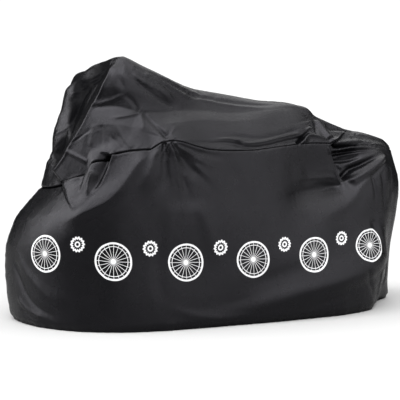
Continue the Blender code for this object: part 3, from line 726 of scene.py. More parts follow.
FANS = (
    Fan(NEAR, (-0.450, 1.055), (-0.34, 0.88), (-0.06, 0.915), 14, (0.006, 0.010), 0.0032, 11, 0.26),
    Fan(NEAR, (-0.470, 1.050), (-0.52, 0.93), (-0.42, 0.90), 5, (0.010, 0.018), 0.0014, 12, 0.3),
    Fan(NEAR, (-0.292, 0.745), (-0.44, 0.79), (-0.20, 0.81), 6, (0.009, 0.016), 0.0022, 13),
    Fan(NEAR, (-0.288, 0.735), (-0.40, 0.62), (-0.10, 0.66), 9, (0.008, 0.016), 0.0030, 14),
    Fan(NEAR, (-0.288, 0.735), (-0.34, 0.34), (0.06, 0.50), 6, (0.014, 0.040), 0.0030, 30, 0.3),
    Fan(NEAR, (0.815, 0.690), (0.54, 0.60), (0.54, 0.72), 8, (0.006, 0.010), 0.0020, 15),
    Fan(NEAR, (0.810, 0.675), (0.68, 0.50), (0.60, 0.55), 4, (0.009, 0.016), 0.0030, 16),
    Fan(NEAR, (0.460, 0.830), (0.24, 0.80), (0.32, 0.77), 4, (0.009, 0.018), 0.0020, 17),
    Fan(NEAR, (0.540, 0.550), (0.36, 0.60), (0.36, 0.50), 5, (0.009, 0.018), 0.0020, 18),
    Fan(FRONT, (-0.250, 1.040), (0.02, 0.84), (0.00, 1.02), 9, (0.007, 0.011), 0.0018, 19, 0.35),
    Fan(FRONT, (0.240, 1.020), (0.02, 0.80), (0.02, 1.00), 8, (0.009, 0.014), 0.0030, 20),
    Fan(FRONT, (0.000, 0.550), (-0.08, 0.80), (0.10, 0.80), 7, (0.009, 0.016), 0.0015, 21),
    Fan(TOP, (-0.450, -0.235), (-0.20, -0.06), (-0.30, 0.00), 8, (0.009, 0.014), 0.0020, 22, 0.3),
    Fan(TOP, (-0.520, 0.240), (-0.20, 0.06), (-0.36, 0.00), 8, (0.009, 0.014), 0.0030, 23),
    Fan(FAR, (-0.520, 1.020), (-0.30, 0.88), (-0.04, 0.92), 10, (0.009, 0.014), 0.0036, 24),
    Fan(FAR, (-0.288, 0.740), (-0.44, 0.60), (-0.06, 0.62), 9, (0.009, 0.016), 0.0036, 25),
    Fan(FAR, (-0.288, 0.745), (-0.44, 0.82), (-0.16, 0.83), 6, (0.009, 0.016), 0.0028, 26),
    Fan(FAR, (0.805, 0.690), (0.52, 0.56), (0.56, 0.70), 9, (0.008, 0.014), 0.0036, 27),
    Fan(FAR, (0.455, 0.830), (0.18, 0.80), (0.30, 0.76), 5, (0.009, 0.018), 0.0026, 28),
    Fan(REAR, (0.000, 0.700), (-0.08, 0.36), (0.08, 0.36), 7, (0.008, 0.014), 0.0040, 29),
)
CRUMPLES = (
    Crumple((-0.60, -0.14, 0.90), 0.16, 0.045, 0.0010, 31),
    Crumple((-0.56, -0.21, 0.74), 0.12, 0.045, 0.0018, 32),
    Crumple((-0.60, 0.14, 0.90), 0.18, 0.045, 0.0035, 33),
    Crumple((-0.10, -0.08, 0.93), 0.18, 0.036, 0.0030, 34),
    Crumple((0.64, -0.08, 0.76), 0.14, 0.040, 0.0040, 35),
    Crumple((0.64, 0.08, 0.76), 0.14, 0.040, 0.0040, 36),
    Crumple((0.60, -0.15, 0.66), 0.13, 0.035, 0.0022, 37),
    Crumple((0.60, 0.15, 0.66), 0.13, 0.035, 0.0040, 38),
    Crumple((-0.20, 0.10, 0.94), 0.18, 0.045, 0.0025, 39),
    Crumple((0.84, 0.00, 0.50), 0.20, 0.050, 0.0035, 40),
)


@dataclass
class Relief:
    """All that is raised on the smooth skins, worked out on both sides' points together."""

    shape: CoverShape
    skins: list[np.ndarray]
    trace_step: float = 0.015
    trace_margin: float = 0.05
    least_facing: float = 0.05
    cliff: float = 0.005
    crest_radius: float = 0.12
    tent_radius: float = 0.018
    crumple_base: float = 0.4
    groove: float = 0.005
    front_groove: float = 0.010
    thin_groove: float = 0.0018
    seam_reach: float = 0.005
    pucker: float = 0.0016
    pucker_reach: float = 0.030
    pucker_size: Pair = (0.014, 0.05)
    front_x: float = -0.45
    front_blend: float = 0.10
    hem_height: float = 0.014
    hem_tuck: float = 0.012
    hem_stitch: float = 0.0012
    stitch_width: float = 0.003
    hem_gather: float = 0.0022
    gather_reach: float = 0.05
    gather_size: Pair = (0.018, 0.06)
    hollow_depth: float = 0.026

    def __post_init__(self) -> None:
        """Flatten both grids into one list of points."""
        self.points = np.concatenate([grid.reshape(-1, 3) for grid in self.skins])
        self.normals = np.concatenate([grid.reshape(-1, 3) for grid in CoverShape.normals(self.skins)])
        self.heights = np.zeros(len(self.points))

    def _as_grids(self, values: np.ndarray) -> list[np.ndarray]:
        """Return a value for each of the flat list's points as two grids again.

        Args:
            values: The flat list's values.

        Returns:
            The near side's values and the far side's.
        """
        ends = np.cumsum([grid[..., 0].size for grid in self.skins])[:-1]
        parts = zip(np.split(values, ends), self.skins)
        return [part.reshape(grid.shape[:2] + values.shape[1:]) for part, grid in parts]

    def _traced(self, fold: Fold) -> tuple[np.ndarray, np.ndarray]:
        """Find a fold's path on the cloth.

        Args:
            fold: The fold to trace.

        Returns:
            Its points on the skin, a trace step apart, and the skin's normals there.
        """
        axes, outward = fold.face.value
        corners = np.array(fold.path)
        if axes[0] == 0:
            corners = corners - np.array((MIDDLE_X, 0.0))
        knots = lengths_along(corners)
        count = max(3, round(knots[-1] / self.trace_step) + 1)
        drawn = smooth_curve(knots, corners, np.linspace(0.0, knots[-1], count), 1.0)
        facing = np.flatnonzero(self.normals @ np.array(outward) > self.least_facing)
        seen = self.points[facing][:, axes]
        low, high = drawn.min(0) - self.trace_margin, drawn.max(0) + self.trace_margin
        inside = facing[((seen > low) & (seen < high)).all(1)]
        seen = self.points[inside][:, axes]
        found = [inside[np.argmin(((seen - spot) ** 2).sum(1))] for spot in drawn]
        line, normals = self.points[found].copy(), self.normals[found]
        depth = ({0, 1, 2} - set(axes)).pop()
        padded = np.pad(line[:, depth], 1, mode="edge")
        line[:, depth] = (padded[:-2] + padded[1:-1] + padded[2:]) / 3
        line[:, axes] = drawn
        return line, normals

    def add_fold(self, fold: Fold) -> None:
        """Raise one fold.

        Args:
            fold: The fold to raise.
        """
        line, line_normals = self._traced(fold)
        widths, heights = np.array((fold.width, fold.height))
        reach = widths.max() * (1.0 + abs(fold.lean)) + 0.01
        near = ((self.points > line.min(0) - reach) & (self.points < line.max(0) + reach)).all(1)
        chosen = np.flatnonzero(near)
        points, normals = self.points[chosen], self.normals[chosen]
        best = np.full(len(chosen), np.inf)
        share = np.zeros(len(chosen))
        signed = np.zeros(len(chosen))
        done = lengths_along(line)
        total = max(done[-1], 1e-9)
        for k, length in enumerate(np.diff(done)):
            if length < 1e-6:
                continue
            run = (line[k + 1] - line[k]) / length
            from_start = points - line[k]
            at = np.clip(from_start @ run, 0.0, length)
            off = from_start - at[:, None] * run
            distance = np.linalg.norm(off, axis=1)
            right = np.cross(run, line_normals[k])
            closer = (distance < best) & (normals @ line_normals[k] > 0.0)
            best = np.where(closer, distance, best)
            share = np.where(closer, (done[k] + at) / total, share)
            signed = np.where(closer, np.sign(off @ right) * distance, signed)
        width = (widths[0] + (widths[1] - widths[0]) * share) * (1.0 + fold.lean * np.sign(signed))
        height = heights[0] + (heights[1] - heights[0]) * share
        ends = smooth_step(share / fold.fade[0]) * smooth_step((1.0 - share) / fold.fade[1])
        self.heights[chosen] += height * ends * self._across(fold.profile, best, signed, width)

    def _across(
        self, profile: Profile, distance: np.ndarray, signed: np.ndarray, width: np.ndarray
    ) -> np.ndarray:
        """Return a fold's share of its height at each distance from its path.

        Args:
            profile: The shape across the fold.
            distance: The distances from the path.
            signed: The same, below 0 on the path's left.
            width: The fold's width beside each of them.

        Returns:
            The shares, from 0 to 1.
        """
        away = distance / width
        if profile is LAP:
            rise = smooth_step((signed + self.cliff) / (2 * self.cliff))
            return np.where(np.isfinite(distance), rise * smooth_step(1.0 - signed / width), 0.0)
        if profile is SOFT:
            return smooth_step(1.0 - away)
        radius, power = (self.tent_radius, 1) if profile is TENT else (self.crest_radius, 2)
        return np.clip(1.0 - (np.sqrt(away**2 + radius**2) - radius), 0.0, 1.0) ** power

    def add_crumple(self, crumple: Crumple) -> None:
        """Raise one patch of facets: creases along the borders between scattered points.

        Args:
            crumple: The patch to raise.
        """
        centre = np.array(crumple.centre) - np.array((MIDDLE_X, 0.0, 0.0))
        reach, facet = crumple.reach, crumple.facet
        distance = np.linalg.norm(self.points - centre, axis=1)
        chosen = np.flatnonzero(distance < reach)
        draw = random.Random(crumple.seed)
        count = max(4, round(3 * (reach / facet) ** 2))
        tree = kdtree.KDTree(count)
        for index in range(count):
            tree.insert(self.points[draw.choice(chosen)], index)
        tree.balance()
        nearest = (tree.find_n(self.points[spot], 2) for spot in chosen)
        edge = np.array([second[2] - first[2] for first, second in nearest])
        crisp = np.clip(1.0 - edge / facet, 0.0, 1.0) ** 1.5
        lift = crumple.height * smooth_step(1.0 - distance[chosen] / reach)
        self.heights[chosen] += lift * (crisp - self.crumple_base)

    def add_waves(self, cell: Point, height: float, seed: int) -> None:
        """Raise soft random waves all over, of the given size along each axis."""
        self.heights += height * lattice_noise(self.points / np.array(cell), seed)

    def _seam(
        self,
        away: np.ndarray,
        along: np.ndarray,
        depth: np.ndarray | float,
        reach: np.ndarray | float,
        seed: int,
    ) -> np.ndarray:
        """Return a seam's groove and the puckers beside it.

        Args:
            away: The distance from the seam.
            along: The distance along it.
            depth: How deep the groove is.
            reach: How far from the seam the cloth starts to sink.
            seed: Which random puckers to draw.

        Returns:
            The heights.
        """
        groove = -depth * np.clip(1.0 - away / reach, 0.0, 1.0) ** 1.5
        cells = (along / self.pucker_size[0], away / self.pucker_size[1], np.zeros_like(along))
        waves = lattice_noise(np.stack(cells, -1), seed)
        return groove + self.pucker * waves * smooth_step(1.0 - away / self.pucker_reach)

    def add_seams(self) -> None:
        """Sink the waist and centre seams, and press and pucker the hem."""
        made = []
        wide = 2.0 * self.seam_reach
        for side, grid in zip(Side, self.skins):
            up, across = lengths_along(grid, 0), lengths_along(grid, 1)
            waist = up[self.shape.waist]
            forward = smooth_step((self.front_x - grid[..., 0]) / self.front_blend) * (side is Side.NEAR)
            depth = self.groove + (self.front_groove - self.groove) * forward
            reach = np.where(up > waist, self.seam_reach, wide)
            relief = self._seam(np.abs(up - waist), across, depth, reach, seed=51)
            relief += self._seam(across, up, self.thin_groove, wide, seed=52)
            relief += self._seam(across[:, -1:] - across, up, self.thin_groove, wide, seed=53)
            relief += self._seam(up[-1:] - up, across, self.thin_groove, wide, seed=54)
            cells = (across / self.gather_size[0], up / self.gather_size[1], np.zeros_like(up))
            gather = lattice_noise(np.stack(cells, -1), 55)
            relief -= self.hem_stitch * np.exp(-(((up - self.hem_height) / self.stitch_width) ** 2))
            relief += self.hem_gather * gather * smooth_step(1.0 - up / self.gather_reach)
            relief -= self.hem_tuck * smooth_step(1.0 - up / (2.0 * self.hem_height))
            made.append(relief.reshape(-1))
        self.heights += np.concatenate(made)

    def raised(self) -> list[np.ndarray]:
        """Return both grids with everything raised, and the hem on the floor.

        Returns:
            The near side's grid and the far side's.
        """
        grids = self._as_grids(self.points + self.normals * self.heights[:, None])
        for grid in grids:
            grid[..., 2] = np.maximum(grid[..., 2], FLOOR_GAP)
            grid[0, :, 2] = FLOOR_GAP
        return grids

    def hollows(self) -> list[np.ndarray]:
        """Return how deep each grid's points are pressed in, from 0 to 1."""
        # These depths feed the painted shade of the cloth's material.
        return self._as_grids(np.clip(-self.heights / self.hollow_depth, 0.0, 1.0))


@dataclass(frozen=True)
class Value:
    """A number that a material works out at each point of the cloth, for use in sums."""

    graph: NodeGraph
    socket: Socket

    def __add__(self, other: Value | float) -> Value:
        """Add another."""
        return self.graph.math("ADD", self, other)

    def __sub__(self, other: Value | float) -> Value:
        """Take another away."""
        return self.graph.math("SUBTRACT", self, other)

    def __mul__(self, other: Value | float) -> Value:
        """Multiply by another."""
        return self.graph.math("MULTIPLY", self, other)

    def __truediv__(self, other: Value | float) -> Value:
        """Divide by another."""
        return self.graph.math("DIVIDE", self, other)

    def __mod__(self, other: Value | float) -> Value:
        """Return the rest after a division."""
        return self.graph.math("MODULO", self, other)


class NodeGraph:
    """A material's nodes, with short ways to add and join them."""

    def __init__(self, material: bpy.types.Material) -> None:
        """Take a material's tree.

        Args:
            material: A material that uses nodes.
        """
        self.tree = material.node_tree
        self.shader = self.tree.nodes["Principled BSDF"]

    def node(self, kind: str, **values: float) -> bpy.types.Node:
        """Add a node and set its named inputs.

        Args:
            kind: The node's type.
            values: What the inputs are set to, by name.

        Returns:
            The node.
        """
        made = self.tree.nodes.new(kind)
        for name, value in values.items():
            made.inputs[name].default_value = value
        return made

    def link(self, source: Socket, target: Socket) -> None:
        """Join two sockets."""
        self.tree.links.new(source, target)

    def object_coordinates(self) -> Socket:
        """Return the piece's own coordinates, in metres."""
        return self.node("ShaderNodeTexCoord").outputs["Object"]

    def cloth_coordinates(self) -> tuple[Value, Value]:
        """Return the distances along and up the cloth, in metres.

        Returns:
            The two distances.
        """
        separate = self.node("ShaderNodeSeparateXYZ")
        uv = self.node("ShaderNodeUVMap")
        uv.uv_map = "cloth"
        self.link(uv.outputs["UV"], separate.inputs["Vector"])
        return Value(self, separate.outputs["X"]), Value(self, separate.outputs["Y"])

    def math(self, operation: str, *values: Value | float) -> Value:
        """Work out a sum of values or numbers and return its result.

        Args:
            operation: The sum's name in a Math node.
            values: What goes into it, in order.

        Returns:
            The result.
        """
        made = self.tree.nodes.new("ShaderNodeMath")
        made.operation = operation
        for value, socket in zip(values, made.inputs):
            if isinstance(value, Value):
                self.link(value.socket, socket)
            else:
                socket.default_value = value
        return Value(self, made.outputs[0])

    def ranged(self, source: Socket, start: Pair, end: Pair, kind: str = "LINEAR") -> Socket:
        """Turn the numbers of one range into those of another.

        Args:
            source: The numbers.
            start: The two ends of their range.
            end: What the two ends become.
            kind: How it runs between them.

        Returns:
            The numbers in the new range.
        """
        made = self.node("ShaderNodeMapRange")
        made.interpolation_type = kind
        for name, value in zip(("From Min", "From Max", "To Min", "To Max"), (*start, *end)):
            made.inputs[name].default_value = value
        self.link(source, made.inputs["Value"])
        return made.outputs["Result"]

    def base_colour(self, share: Socket, below: Point, above: Point) -> None:
        """Mix the base colour from two, by a share.

        Args:
            share: How much of the second shows, from 0 to 1.
            below: The first colour.
            above: The second colour.
        """
        mix = self.node("ShaderNodeMix")
        mix.data_type = "RGBA"
        mix.inputs["A"].default_value = (*below, 1.0)
        mix.inputs["B"].default_value = (*above, 1.0)
        self.link(share, mix.inputs["Factor"])
        self.link(mix.outputs["Result"], self.shader.inputs["Base Color"])


def plain_material(name: str) -> tuple[bpy.types.Material, NodeGraph]:
    """Return a new material and its graph.

    Args:
        name: The material's name.

    Returns:
        The material and its graph.
    """
    material = bpy.data.materials.new(name)
    material.use_nodes = True
    return material, NodeGraph(material)


@dataclass(frozen=True)
class CoatedCloth:
    """Thin coated taffeta: its colour, gloss and weave, and painted shade that lowers the gloss in its
    deepest folds.
    """

    name: str
    colour: Point = (0.0034, 0.0034, 0.0040)
    roughness: float = 0.27
    roughness_spread: float = 0.06
    specular: float = 0.29
    # Specular level in the deepest folds: painted shade that darkens the troughs.
    painted_shade_specular: float = 0.24
    hollow: Pair = (0.26, 0.60)
    specular_tint: Point = (0.93, 0.91, 1.0)
    weave_pitch: float = 0.0009
    weave_height: float = 0.00003
    creep_size: float = 0.020
    creep_height: float = 0.0016
    creep_stretch: Point = (1.0, 1.0, 0.55)

    def material(self) -> bpy.types.Material:
        """Return the cloth's material, without a print.

        Returns:
            The material.
        """
        material, graph = plain_material(self.name)
        graph.shader.inputs["Base Color"].default_value = (*self.colour, 1.0)
        graph.shader.inputs["Specular Tint"].default_value = (*self.specular_tint, 1.0)
        self._gloss(graph)
        self._bump(graph)
        return material

    def _gloss(self, graph: NodeGraph) -> None:
        """Vary the roughness in soft patches, and lower the specular in the deepest folds as painted shade.

        Args:
            graph: The material's graph.
        """
        noise = graph.node("ShaderNodeTexNoise", Scale=14.0, Detail=3.0)
        graph.link(graph.object_coordinates(), noise.inputs["Vector"])
        ends = (self.roughness - self.roughness_spread, self.roughness + self.roughness_spread)
        roughness = graph.ranged(noise.outputs["Fac"], (0.0, 1.0), ends)
        graph.link(roughness, graph.shader.inputs["Roughness"])
        # Painted shade: the fold depth written on the mesh lowers the specular in the folds' troughs.
        hollow = graph.node("ShaderNodeAttribute")
        hollow.attribute_name = "hollow"
        levels = (self.specular, self.painted_shade_specular)
        level = graph.ranged(hollow.outputs["Fac"], self.hollow, levels, "SMOOTHSTEP")
        graph.link(level, graph.shader.inputs["Specular IOR Level"])

    def _bump(self, graph: NodeGraph) -> None:
        """Raise the weave's threads and the finest creases.

        Args:
            graph: The material's graph.
        """
        turns = 2 * math.pi / self.weave_pitch
        warp, weft = (graph.math("SINE", way * turns) for way in graph.cloth_coordinates())
        threads = graph.node("ShaderNodeBump", Distance=self.weave_height)
        graph.link((warp + weft).socket, threads.inputs["Height"])
        creep = graph.node("ShaderNodeTexNoise", Scale=1.0 / self.creep_size, Detail=4.0, Roughness=0.45)
        creep.noise_type = "RIDGED_MULTIFRACTAL"
        creep.normalize = False
        stretch = graph.node("ShaderNodeMapping", Scale=self.creep_stretch)
        graph.link(graph.object_coordinates(), stretch.inputs["Vector"])
        graph.link(stretch.outputs["Vector"], creep.inputs["Vector"])
        fine = graph.node("ShaderNodeBump", Distance=self.creep_height, Strength=0.35)
        graph.link(creep.outputs["Fac"], fine.inputs["Height"])
        graph.link(threads.outputs["Normal"], fine.inputs["Normal"])
        graph.link(fine.outputs["Normal"], graph.shader.inputs["Normal"])


@dataclass(frozen=True)
class PrintRow:
    """A printed row of spoked wheels with toothed rings between them, in white on a sagging line.

    A cell holds one wheel, and a ring half a cell on. All is drawn from the cloth's own lengths. A
    ring's bands are (radius, half width) as shares of its size, and the rim's inset is in tyres.
    """

    colour: Point = (0.93, 0.93, 0.94)
    first: float = 0.14
    last: float = 1.90
    cells: int = 6
    height: float = 0.265
    sag: float = 0.055
    wheel: float = 0.074
    tyre: float = 0.0075
    rim: float = 0.0025
    rim_inset: float = 2.2
    spokes: int = 20
    spoke: float = 0.0016
    hub: float = 0.010
    ring: float = 0.030
    ring_lift: float = 0.055
    ring_band: Pair = (0.82, 0.16)
    centre_band: Pair = (0.30, 0.10)
    teeth: int = 14
    tooth: float = 0.0045
    edge: float = 0.0006

    def mask(self, graph: NodeGraph) -> Value:
        """Return 1 where the cloth is printed and 0 elsewhere.

        Args:
            graph: The material's graph.

        Returns:
            The mask.
        """
        along, up = graph.cloth_coordinates()
        length = self.last - self.first
        cell = length / self.cells
        start = along - self.first
        middle = (along - (self.first + self.last) / 2) / (length / 2)
        line = up - self.height - middle * middle * self.sag
        wheel = self._wheel(graph, start % cell - cell / 2, line)
        ring = self._ring(graph, (start + cell / 2) % cell - cell / 2, line - self.ring_lift)
        wheel *= self._inside(graph, along, 0.0)
        ring *= self._inside(graph, along, cell / 2)
        return graph.math("MAXIMUM", wheel, ring)

    def _inside(self, graph: NodeGraph, along: Value, margin: float) -> Value:
        """Return 1 between the row's ends, less a margin."""
        past_first = graph.math("GREATER_THAN", along, self.first + margin)
        return past_first * graph.math("LESS_THAN", along, self.last - margin)

    def _band(self, graph: NodeGraph, distance: Value, middle: float, half: float) -> Value:
        """Return 1 within half a width of a distance, with a soft edge.

        Args:
            graph: The material's graph.
            distance: The distance.
            middle: What it is at the band's middle.
            half: Half the band's width.

        Returns:
            The mask.
        """
        away = graph.math("ABSOLUTE", distance - middle)
        ends = (half + self.edge, half - self.edge)
        return Value(graph, graph.ranged(away.socket, ends, (0.0, 1.0), "SMOOTHSTEP"))

    def _polar(self, graph: NodeGraph, x: Value, y: Value) -> tuple[Value, Value]:
        """Return the distance from a motif's centre and the angle round it."""
        return graph.math("SQRT", x * x + y * y), graph.math("ARCTAN2", y, x)

    def _wheel(self, graph: NodeGraph, x: Value, y: Value) -> Value:
        """Return the mask of a tyre, a rim, spokes and a hub.

        Args:
            graph: The material's graph.
            x: How far right of the wheel's centre.
            y: How far above it.

        Returns:
            The mask.
        """
        radius, angle = self._polar(graph, x, y)
        tyre = self._band(graph, radius, self.wheel - self.tyre / 2, self.tyre / 2)
        rim = self._band(graph, radius, self.wheel - self.rim_inset * self.tyre, self.rim / 2)
        hub = self._band(graph, radius, 0.0, self.hub)
        turn = graph.math("ABSOLUTE", graph.math("SINE", angle * (self.spokes / 2)))
        spokes = self._band(graph, turn * radius / (self.spokes / 2), 0.0, self.spoke / 2)
        spokes *= graph.math("LESS_THAN", radius, self.wheel - self.tyre)
        return graph.math("MAXIMUM", graph.math("MAXIMUM", tyre, rim), graph.math("MAXIMUM", hub, spokes))

    def _ring(self, graph: NodeGraph, x: Value, y: Value) -> Value:
        """Return the mask of a toothed ring with a small centre.

        Args:
            graph: The material's graph.
            x: How far right of the ring's centre.
            y: How far above it.

        Returns:
            The mask.
        """
        radius, angle = self._polar(graph, x, y)
        toothed = radius - graph.math("SINE", angle * self.teeth) * (self.tooth / 2)
        ring = self._band(graph, toothed, self.ring * self.ring_band[0], self.ring * self.ring_band[1])
        inner = self._band(graph, radius, self.ring * self.centre_band[0], self.ring * self.centre_band[1])
        return graph.math("MAXIMUM", ring, inner)

    def print_on(self, material: bpy.types.Material, cloth: CoatedCloth) -> None:
        """Lay the print over a cloth's colour."""
        graph = NodeGraph(material)
        graph.base_colour(self.mask(graph).socket, cloth.colour, self.colour)


@dataclass(frozen=True)
class ClothPanel:
    """One panel of the cover, from the rows of a raised grid, and the size it is cut to.

    Lengths along the cloth are measured on one row, at a share of the way up the grid.
    """

    name: str
    side: Side
    rows: slice
    node: str
    slot: str
    flat: Pair
    area: float
    thickness: float = 0.0006
    measured_at: float = 0.2

    def build(self, grid: np.ndarray, hollow: np.ndarray, material: bpy.types.Material) -> bpy.types.Object:
        """Make the panel and give it its finish.

        Args:
            grid: The whole side's points.
            hollow: How deep each of them is pressed in, from 0 to 1.
            material: The cloth's material.

        Returns:
            The panel's object.
        """
        points = grid[self.rows]
        index = np.arange(points[..., 0].size).reshape(points.shape[:2])
        corners = (index[:-1, :-1], index[:-1, 1:], index[1:, 1:], index[1:, :-1])
        quads = np.stack(corners, -1).reshape(-1, 4)
        if self.side is Side.FAR:
            quads = quads[:, ::-1]
        mesh = bpy.data.meshes.new(self.name)
        mesh.from_pydata(points.reshape(-1, 3).tolist(), [], quads.tolist())
        self._unwrap(mesh, grid, quads)
        # The depths drive the painted shade in the cloth's material.
        depth = mesh.attributes.new("hollow", "FLOAT", "POINT")
        depth.data.foreach_set("value", hollow[self.rows].astype(np.float32).reshape(-1))
        mesh.shade_smooth()
        mesh.materials.append(material)
        panel = bpy.data.objects.new(self.name, mesh)
        bpy.context.scene.collection.objects.link(panel)
        self._thicken(panel)
        return panel

    def _unwrap(self, mesh: bpy.types.Mesh, grid: np.ndarray, quads: np.ndarray) -> None:
        """Give each corner its lengths along and up the cloth, in metres.

        Args:
            mesh: The panel's mesh.
            grid: The whole side's points.
            quads: The corners of each face.
        """
        up = lengths_along(grid)
        along = lengths_along(grid[round(grid.shape[0] * self.measured_at)])
        lengths = np.stack((np.broadcast_to(along, up.shape), up), -1)[self.rows].reshape(-1, 2)
        layer = mesh.uv_layers.new(name="cloth")
        layer.data.foreach_set("uv", lengths[quads.reshape(-1)].astype(np.float32).reshape(-1))

    def _thicken(self, panel: bpy.types.Object) -> None:
        """Give the sheet its thickness, inwards.

        Args:
            panel: The panel's object.
        """
        wall = panel.modifiers.new("thickness", "SOLIDIFY")
        wall.thickness = self.thickness
        wall.offset = -1.0
        bpy.ops.object.select_all(action="DESELECT")
        bpy.context.view_layer.objects.active = panel
        panel.select_set(True)
        bpy.ops.object.modifier_apply(modifier=wall.name)

    def dress(self, panel: bpy.types.Object) -> None:
        """Attach the panel to the frame's root and hide the solid it stands for.

        Args:
            panel: The panel's object.
        """
        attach(panel, "root")
        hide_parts(self.node)


@dataclass
class Cover:
    """The whole cover: its shape, its panels and their finishes."""

    shape: CoverShape = field(default_factory=CoverShape)

    def panels(self) -> list[ClothPanel]:
        """Return the four panels, each with the size it is cut to.

        Returns:
            The panels, in the order they are built in.
        """
        lower, upper = slice(None, self.shape.waist + 1), slice(self.shape.waist, None)
        side_size = ((0.78, 2.35), 1.60)
        hood_size = ((0.62, 2.00), 0.75)
        return [
            ClothPanel("cloth_side_near", Side.NEAR, lower, "side_panel_near", "side_cloth", *side_size),
            ClothPanel("cloth_side_far", Side.FAR, lower, "side_panel_far", "side_cloth", *side_size),
            ClothPanel("cloth_hood_near", Side.NEAR, upper, "hood_panel_near", "hood_cloth", *hood_size),
            ClothPanel("cloth_hood_far", Side.FAR, upper, "hood_panel_far", "hood_cloth", *hood_size),
        ]

    def raise_cloth(self) -> dict[Side, tuple[np.ndarray, np.ndarray]]:
        """Return each side's grid with its folds, and how deep its points are pressed in.

        Returns:
            The grid and the depths of each side.
        """
        relief = Relief(self.shape, self.shape.skins())
        for fold in (*MAIN_FOLDS, *SIDE_FOLDS, *HOOD_FOLDS, *FAR_FOLDS):
            relief.add_fold(fold)
        for fan in FANS:
            for fold in fan.folds():
                relief.add_fold(fold)
        for crumple in CRUMPLES:
            relief.add_crumple(crumple)
        relief.add_waves(cell=(0.16, 0.16, 0.20), height=0.0030, seed=61)
        relief.add_waves(cell=(0.05, 0.05, 0.09), height=0.0008, seed=62)
        relief.add_seams()
        return dict(zip(Side, zip(relief.raised(), relief.hollows())))

    def build(self) -> None:
        """Build and dress every panel."""
        side_cloth = CoatedCloth("side_cloth_black")
        # The hood's deep folds get a stronger painted shade.
        hood_cloth = CoatedCloth("hood_cloth_black", roughness=0.25, painted_shade_specular=0.02)
        printed = side_cloth.material()
        printed.name = "side_cloth_printed"
        PrintRow().print_on(printed, side_cloth)
        finishes = {
            "cloth_side_near": printed,
            "cloth_side_far": side_cloth.material(),
            "cloth_hood_near": hood_cloth.material(),
            "cloth_hood_far": hood_cloth.material(),
        }
        grids = self.raise_cloth()
        for panel in self.panels():
            made = panel.build(*grids[panel.side], finishes[panel.name])
            panel.dress(made)
            LOG.info("%s: %d faces", panel.name, len(made.data.polygons))


@dataclass(frozen=True)
class SkyPatch:
    """A round soft light, far off, that covers a cap of the directions above the floor.

    Its brightness is even over the cap, so it lights all of the floor evenly.
    """

    name: str
    towards: Point
    half_angle: float
    radiance: float

    def build(self) -> None:
        """Add the light."""
        light = bpy.data.lights.new(self.name, "SUN")
        cap = math.radians(self.half_angle)
        light.angle = 2 * cap
        light.energy = self.radiance * math.pi * math.sin(cap) ** 2
        lamp = bpy.data.objects.new(self.name, light)
        lamp.rotation_euler = Vector(self.towards).to_track_quat("Z", "Y").to_euler()
        bpy.context.scene.collection.objects.link(lamp)


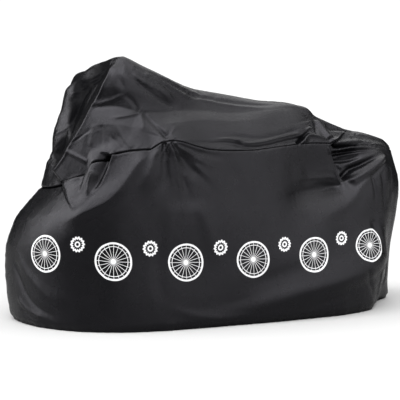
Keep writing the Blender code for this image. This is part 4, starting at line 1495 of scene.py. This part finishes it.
@dataclass(frozen=True)
class Studio:
    """A white floor, a pale surround, soft boxes and the camera."""

    floor_size: float = 16.0
    floor_colour: Point = (0.52, 0.52, 0.52)
    floor_bounce: Point = (0.25, 0.25, 0.25)
    floor_roughness: float = 0.9
    surround: float = 0.03
    backdrop: float = 1.1
    azimuth: float = 18.136
    distance: float = 4.0
    eye_height: float = 0.750
    yaw: float = 0.721
    pitch: float = 3.934
    focal_pixels: float = 912.8
    picture_pixels: float = 400.0
    sensor: float = 36.0
    patches: tuple[SkyPatch, ...] = (
        SkyPatch("front_patch", (-0.35, -0.70, 1.05), 28.0, 3.4),
        SkyPatch("top_patch", (-0.15, 0.0, 1.0), 36.0, 1.7),
        SkyPatch("left_patch", (-0.95, 0.22, 0.95), 22.0, 3.2),
        SkyPatch("side_patch", (-0.99, 0.139, 0.364), 20.0, 3.9),
        SkyPatch("right_patch", (0.64, -0.15, 0.68), 18.0, 1.8),
        SkyPatch("back_patch", (0.45, 0.55, 1.00), 24.0, 0.8),
        SkyPatch("far_patch", (0.38, 0.82, 0.75), 22.0, 0.7),
        SkyPatch("low_patch", (0.325, -0.803, 0.500), 14.0, 1.5),
        SkyPatch("room_patch", (0.90, -1.0, 0.05), 41.0, 1.16),
    )

    def build(self) -> None:
        """Build the studio."""
        self._floor()
        self._world()
        for patch in self.patches:
            patch.build()
        self._camera()

    def _floor(self) -> None:
        """Lay the floor, which the camera sees paler than the cloth does."""
        bpy.ops.object.select_all(action="DESELECT")
        bpy.ops.mesh.primitive_plane_add(size=self.floor_size, location=(0, 0, 0))
        floor = bpy.context.active_object
        floor.name = "studio_floor"
        material, graph = plain_material("studio_white")
        graph.shader.inputs["Roughness"].default_value = self.floor_roughness
        graph.shader.inputs["Specular IOR Level"].default_value = 0.0
        seen = graph.node("ShaderNodeLightPath").outputs["Is Camera Ray"]
        graph.base_colour(seen, self.floor_bounce, self.floor_colour)
        floor.data.materials.append(material)

    def _world(self) -> None:
        """Keep the surround dim for the cloth, behind a white backdrop."""
        world = bpy.data.worlds.new("studio_surround")
        world.use_nodes = True
        nodes, links = world.node_tree.nodes, world.node_tree.links
        mix = nodes.new("ShaderNodeMixShader")
        links.new(nodes.new("ShaderNodeLightPath").outputs["Is Camera Ray"], mix.inputs["Fac"])
        dim, white = nodes["Background"], nodes.new("ShaderNodeBackground")
        for index, shade, node in ((1, self.surround, dim), (2, self.backdrop, white)):
            node.inputs["Color"].default_value = (shade, shade, shade, 1.0)
            links.new(node.outputs["Background"], mix.inputs[index])
        links.new(mix.outputs["Shader"], nodes["World Output"].inputs["Surface"])
        bpy.context.scene.world = world

    def _camera(self) -> None:
        """Place the camera and frame the cover."""
        turn = math.radians(self.azimuth)
        camera = bpy.data.cameras.new("camera")
        camera.sensor_width = self.sensor
        camera.lens = self.focal_pixels * self.sensor / self.picture_pixels
        eye = bpy.data.objects.new("camera", camera)
        x, y = -self.distance * math.sin(turn) - MIDDLE_X, -self.distance * math.cos(turn)
        eye.location = (x, y, self.eye_height)
        eye.rotation_euler = (math.radians(90.0 - self.pitch), 0.0, -math.radians(self.azimuth - self.yaw))
        bpy.context.scene.collection.objects.link(eye)
        bpy.context.scene.camera = eye
        bpy.context.scene.view_settings.view_transform = "Standard"


def main() -> None:
    """Build the cover around the frame, and the studio round it."""
    logging.basicConfig(level=logging.INFO, format="%(name)s: %(message)s")
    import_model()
    Studio().build()
    Cover().build()


if __name__ == "__main__":
    main()
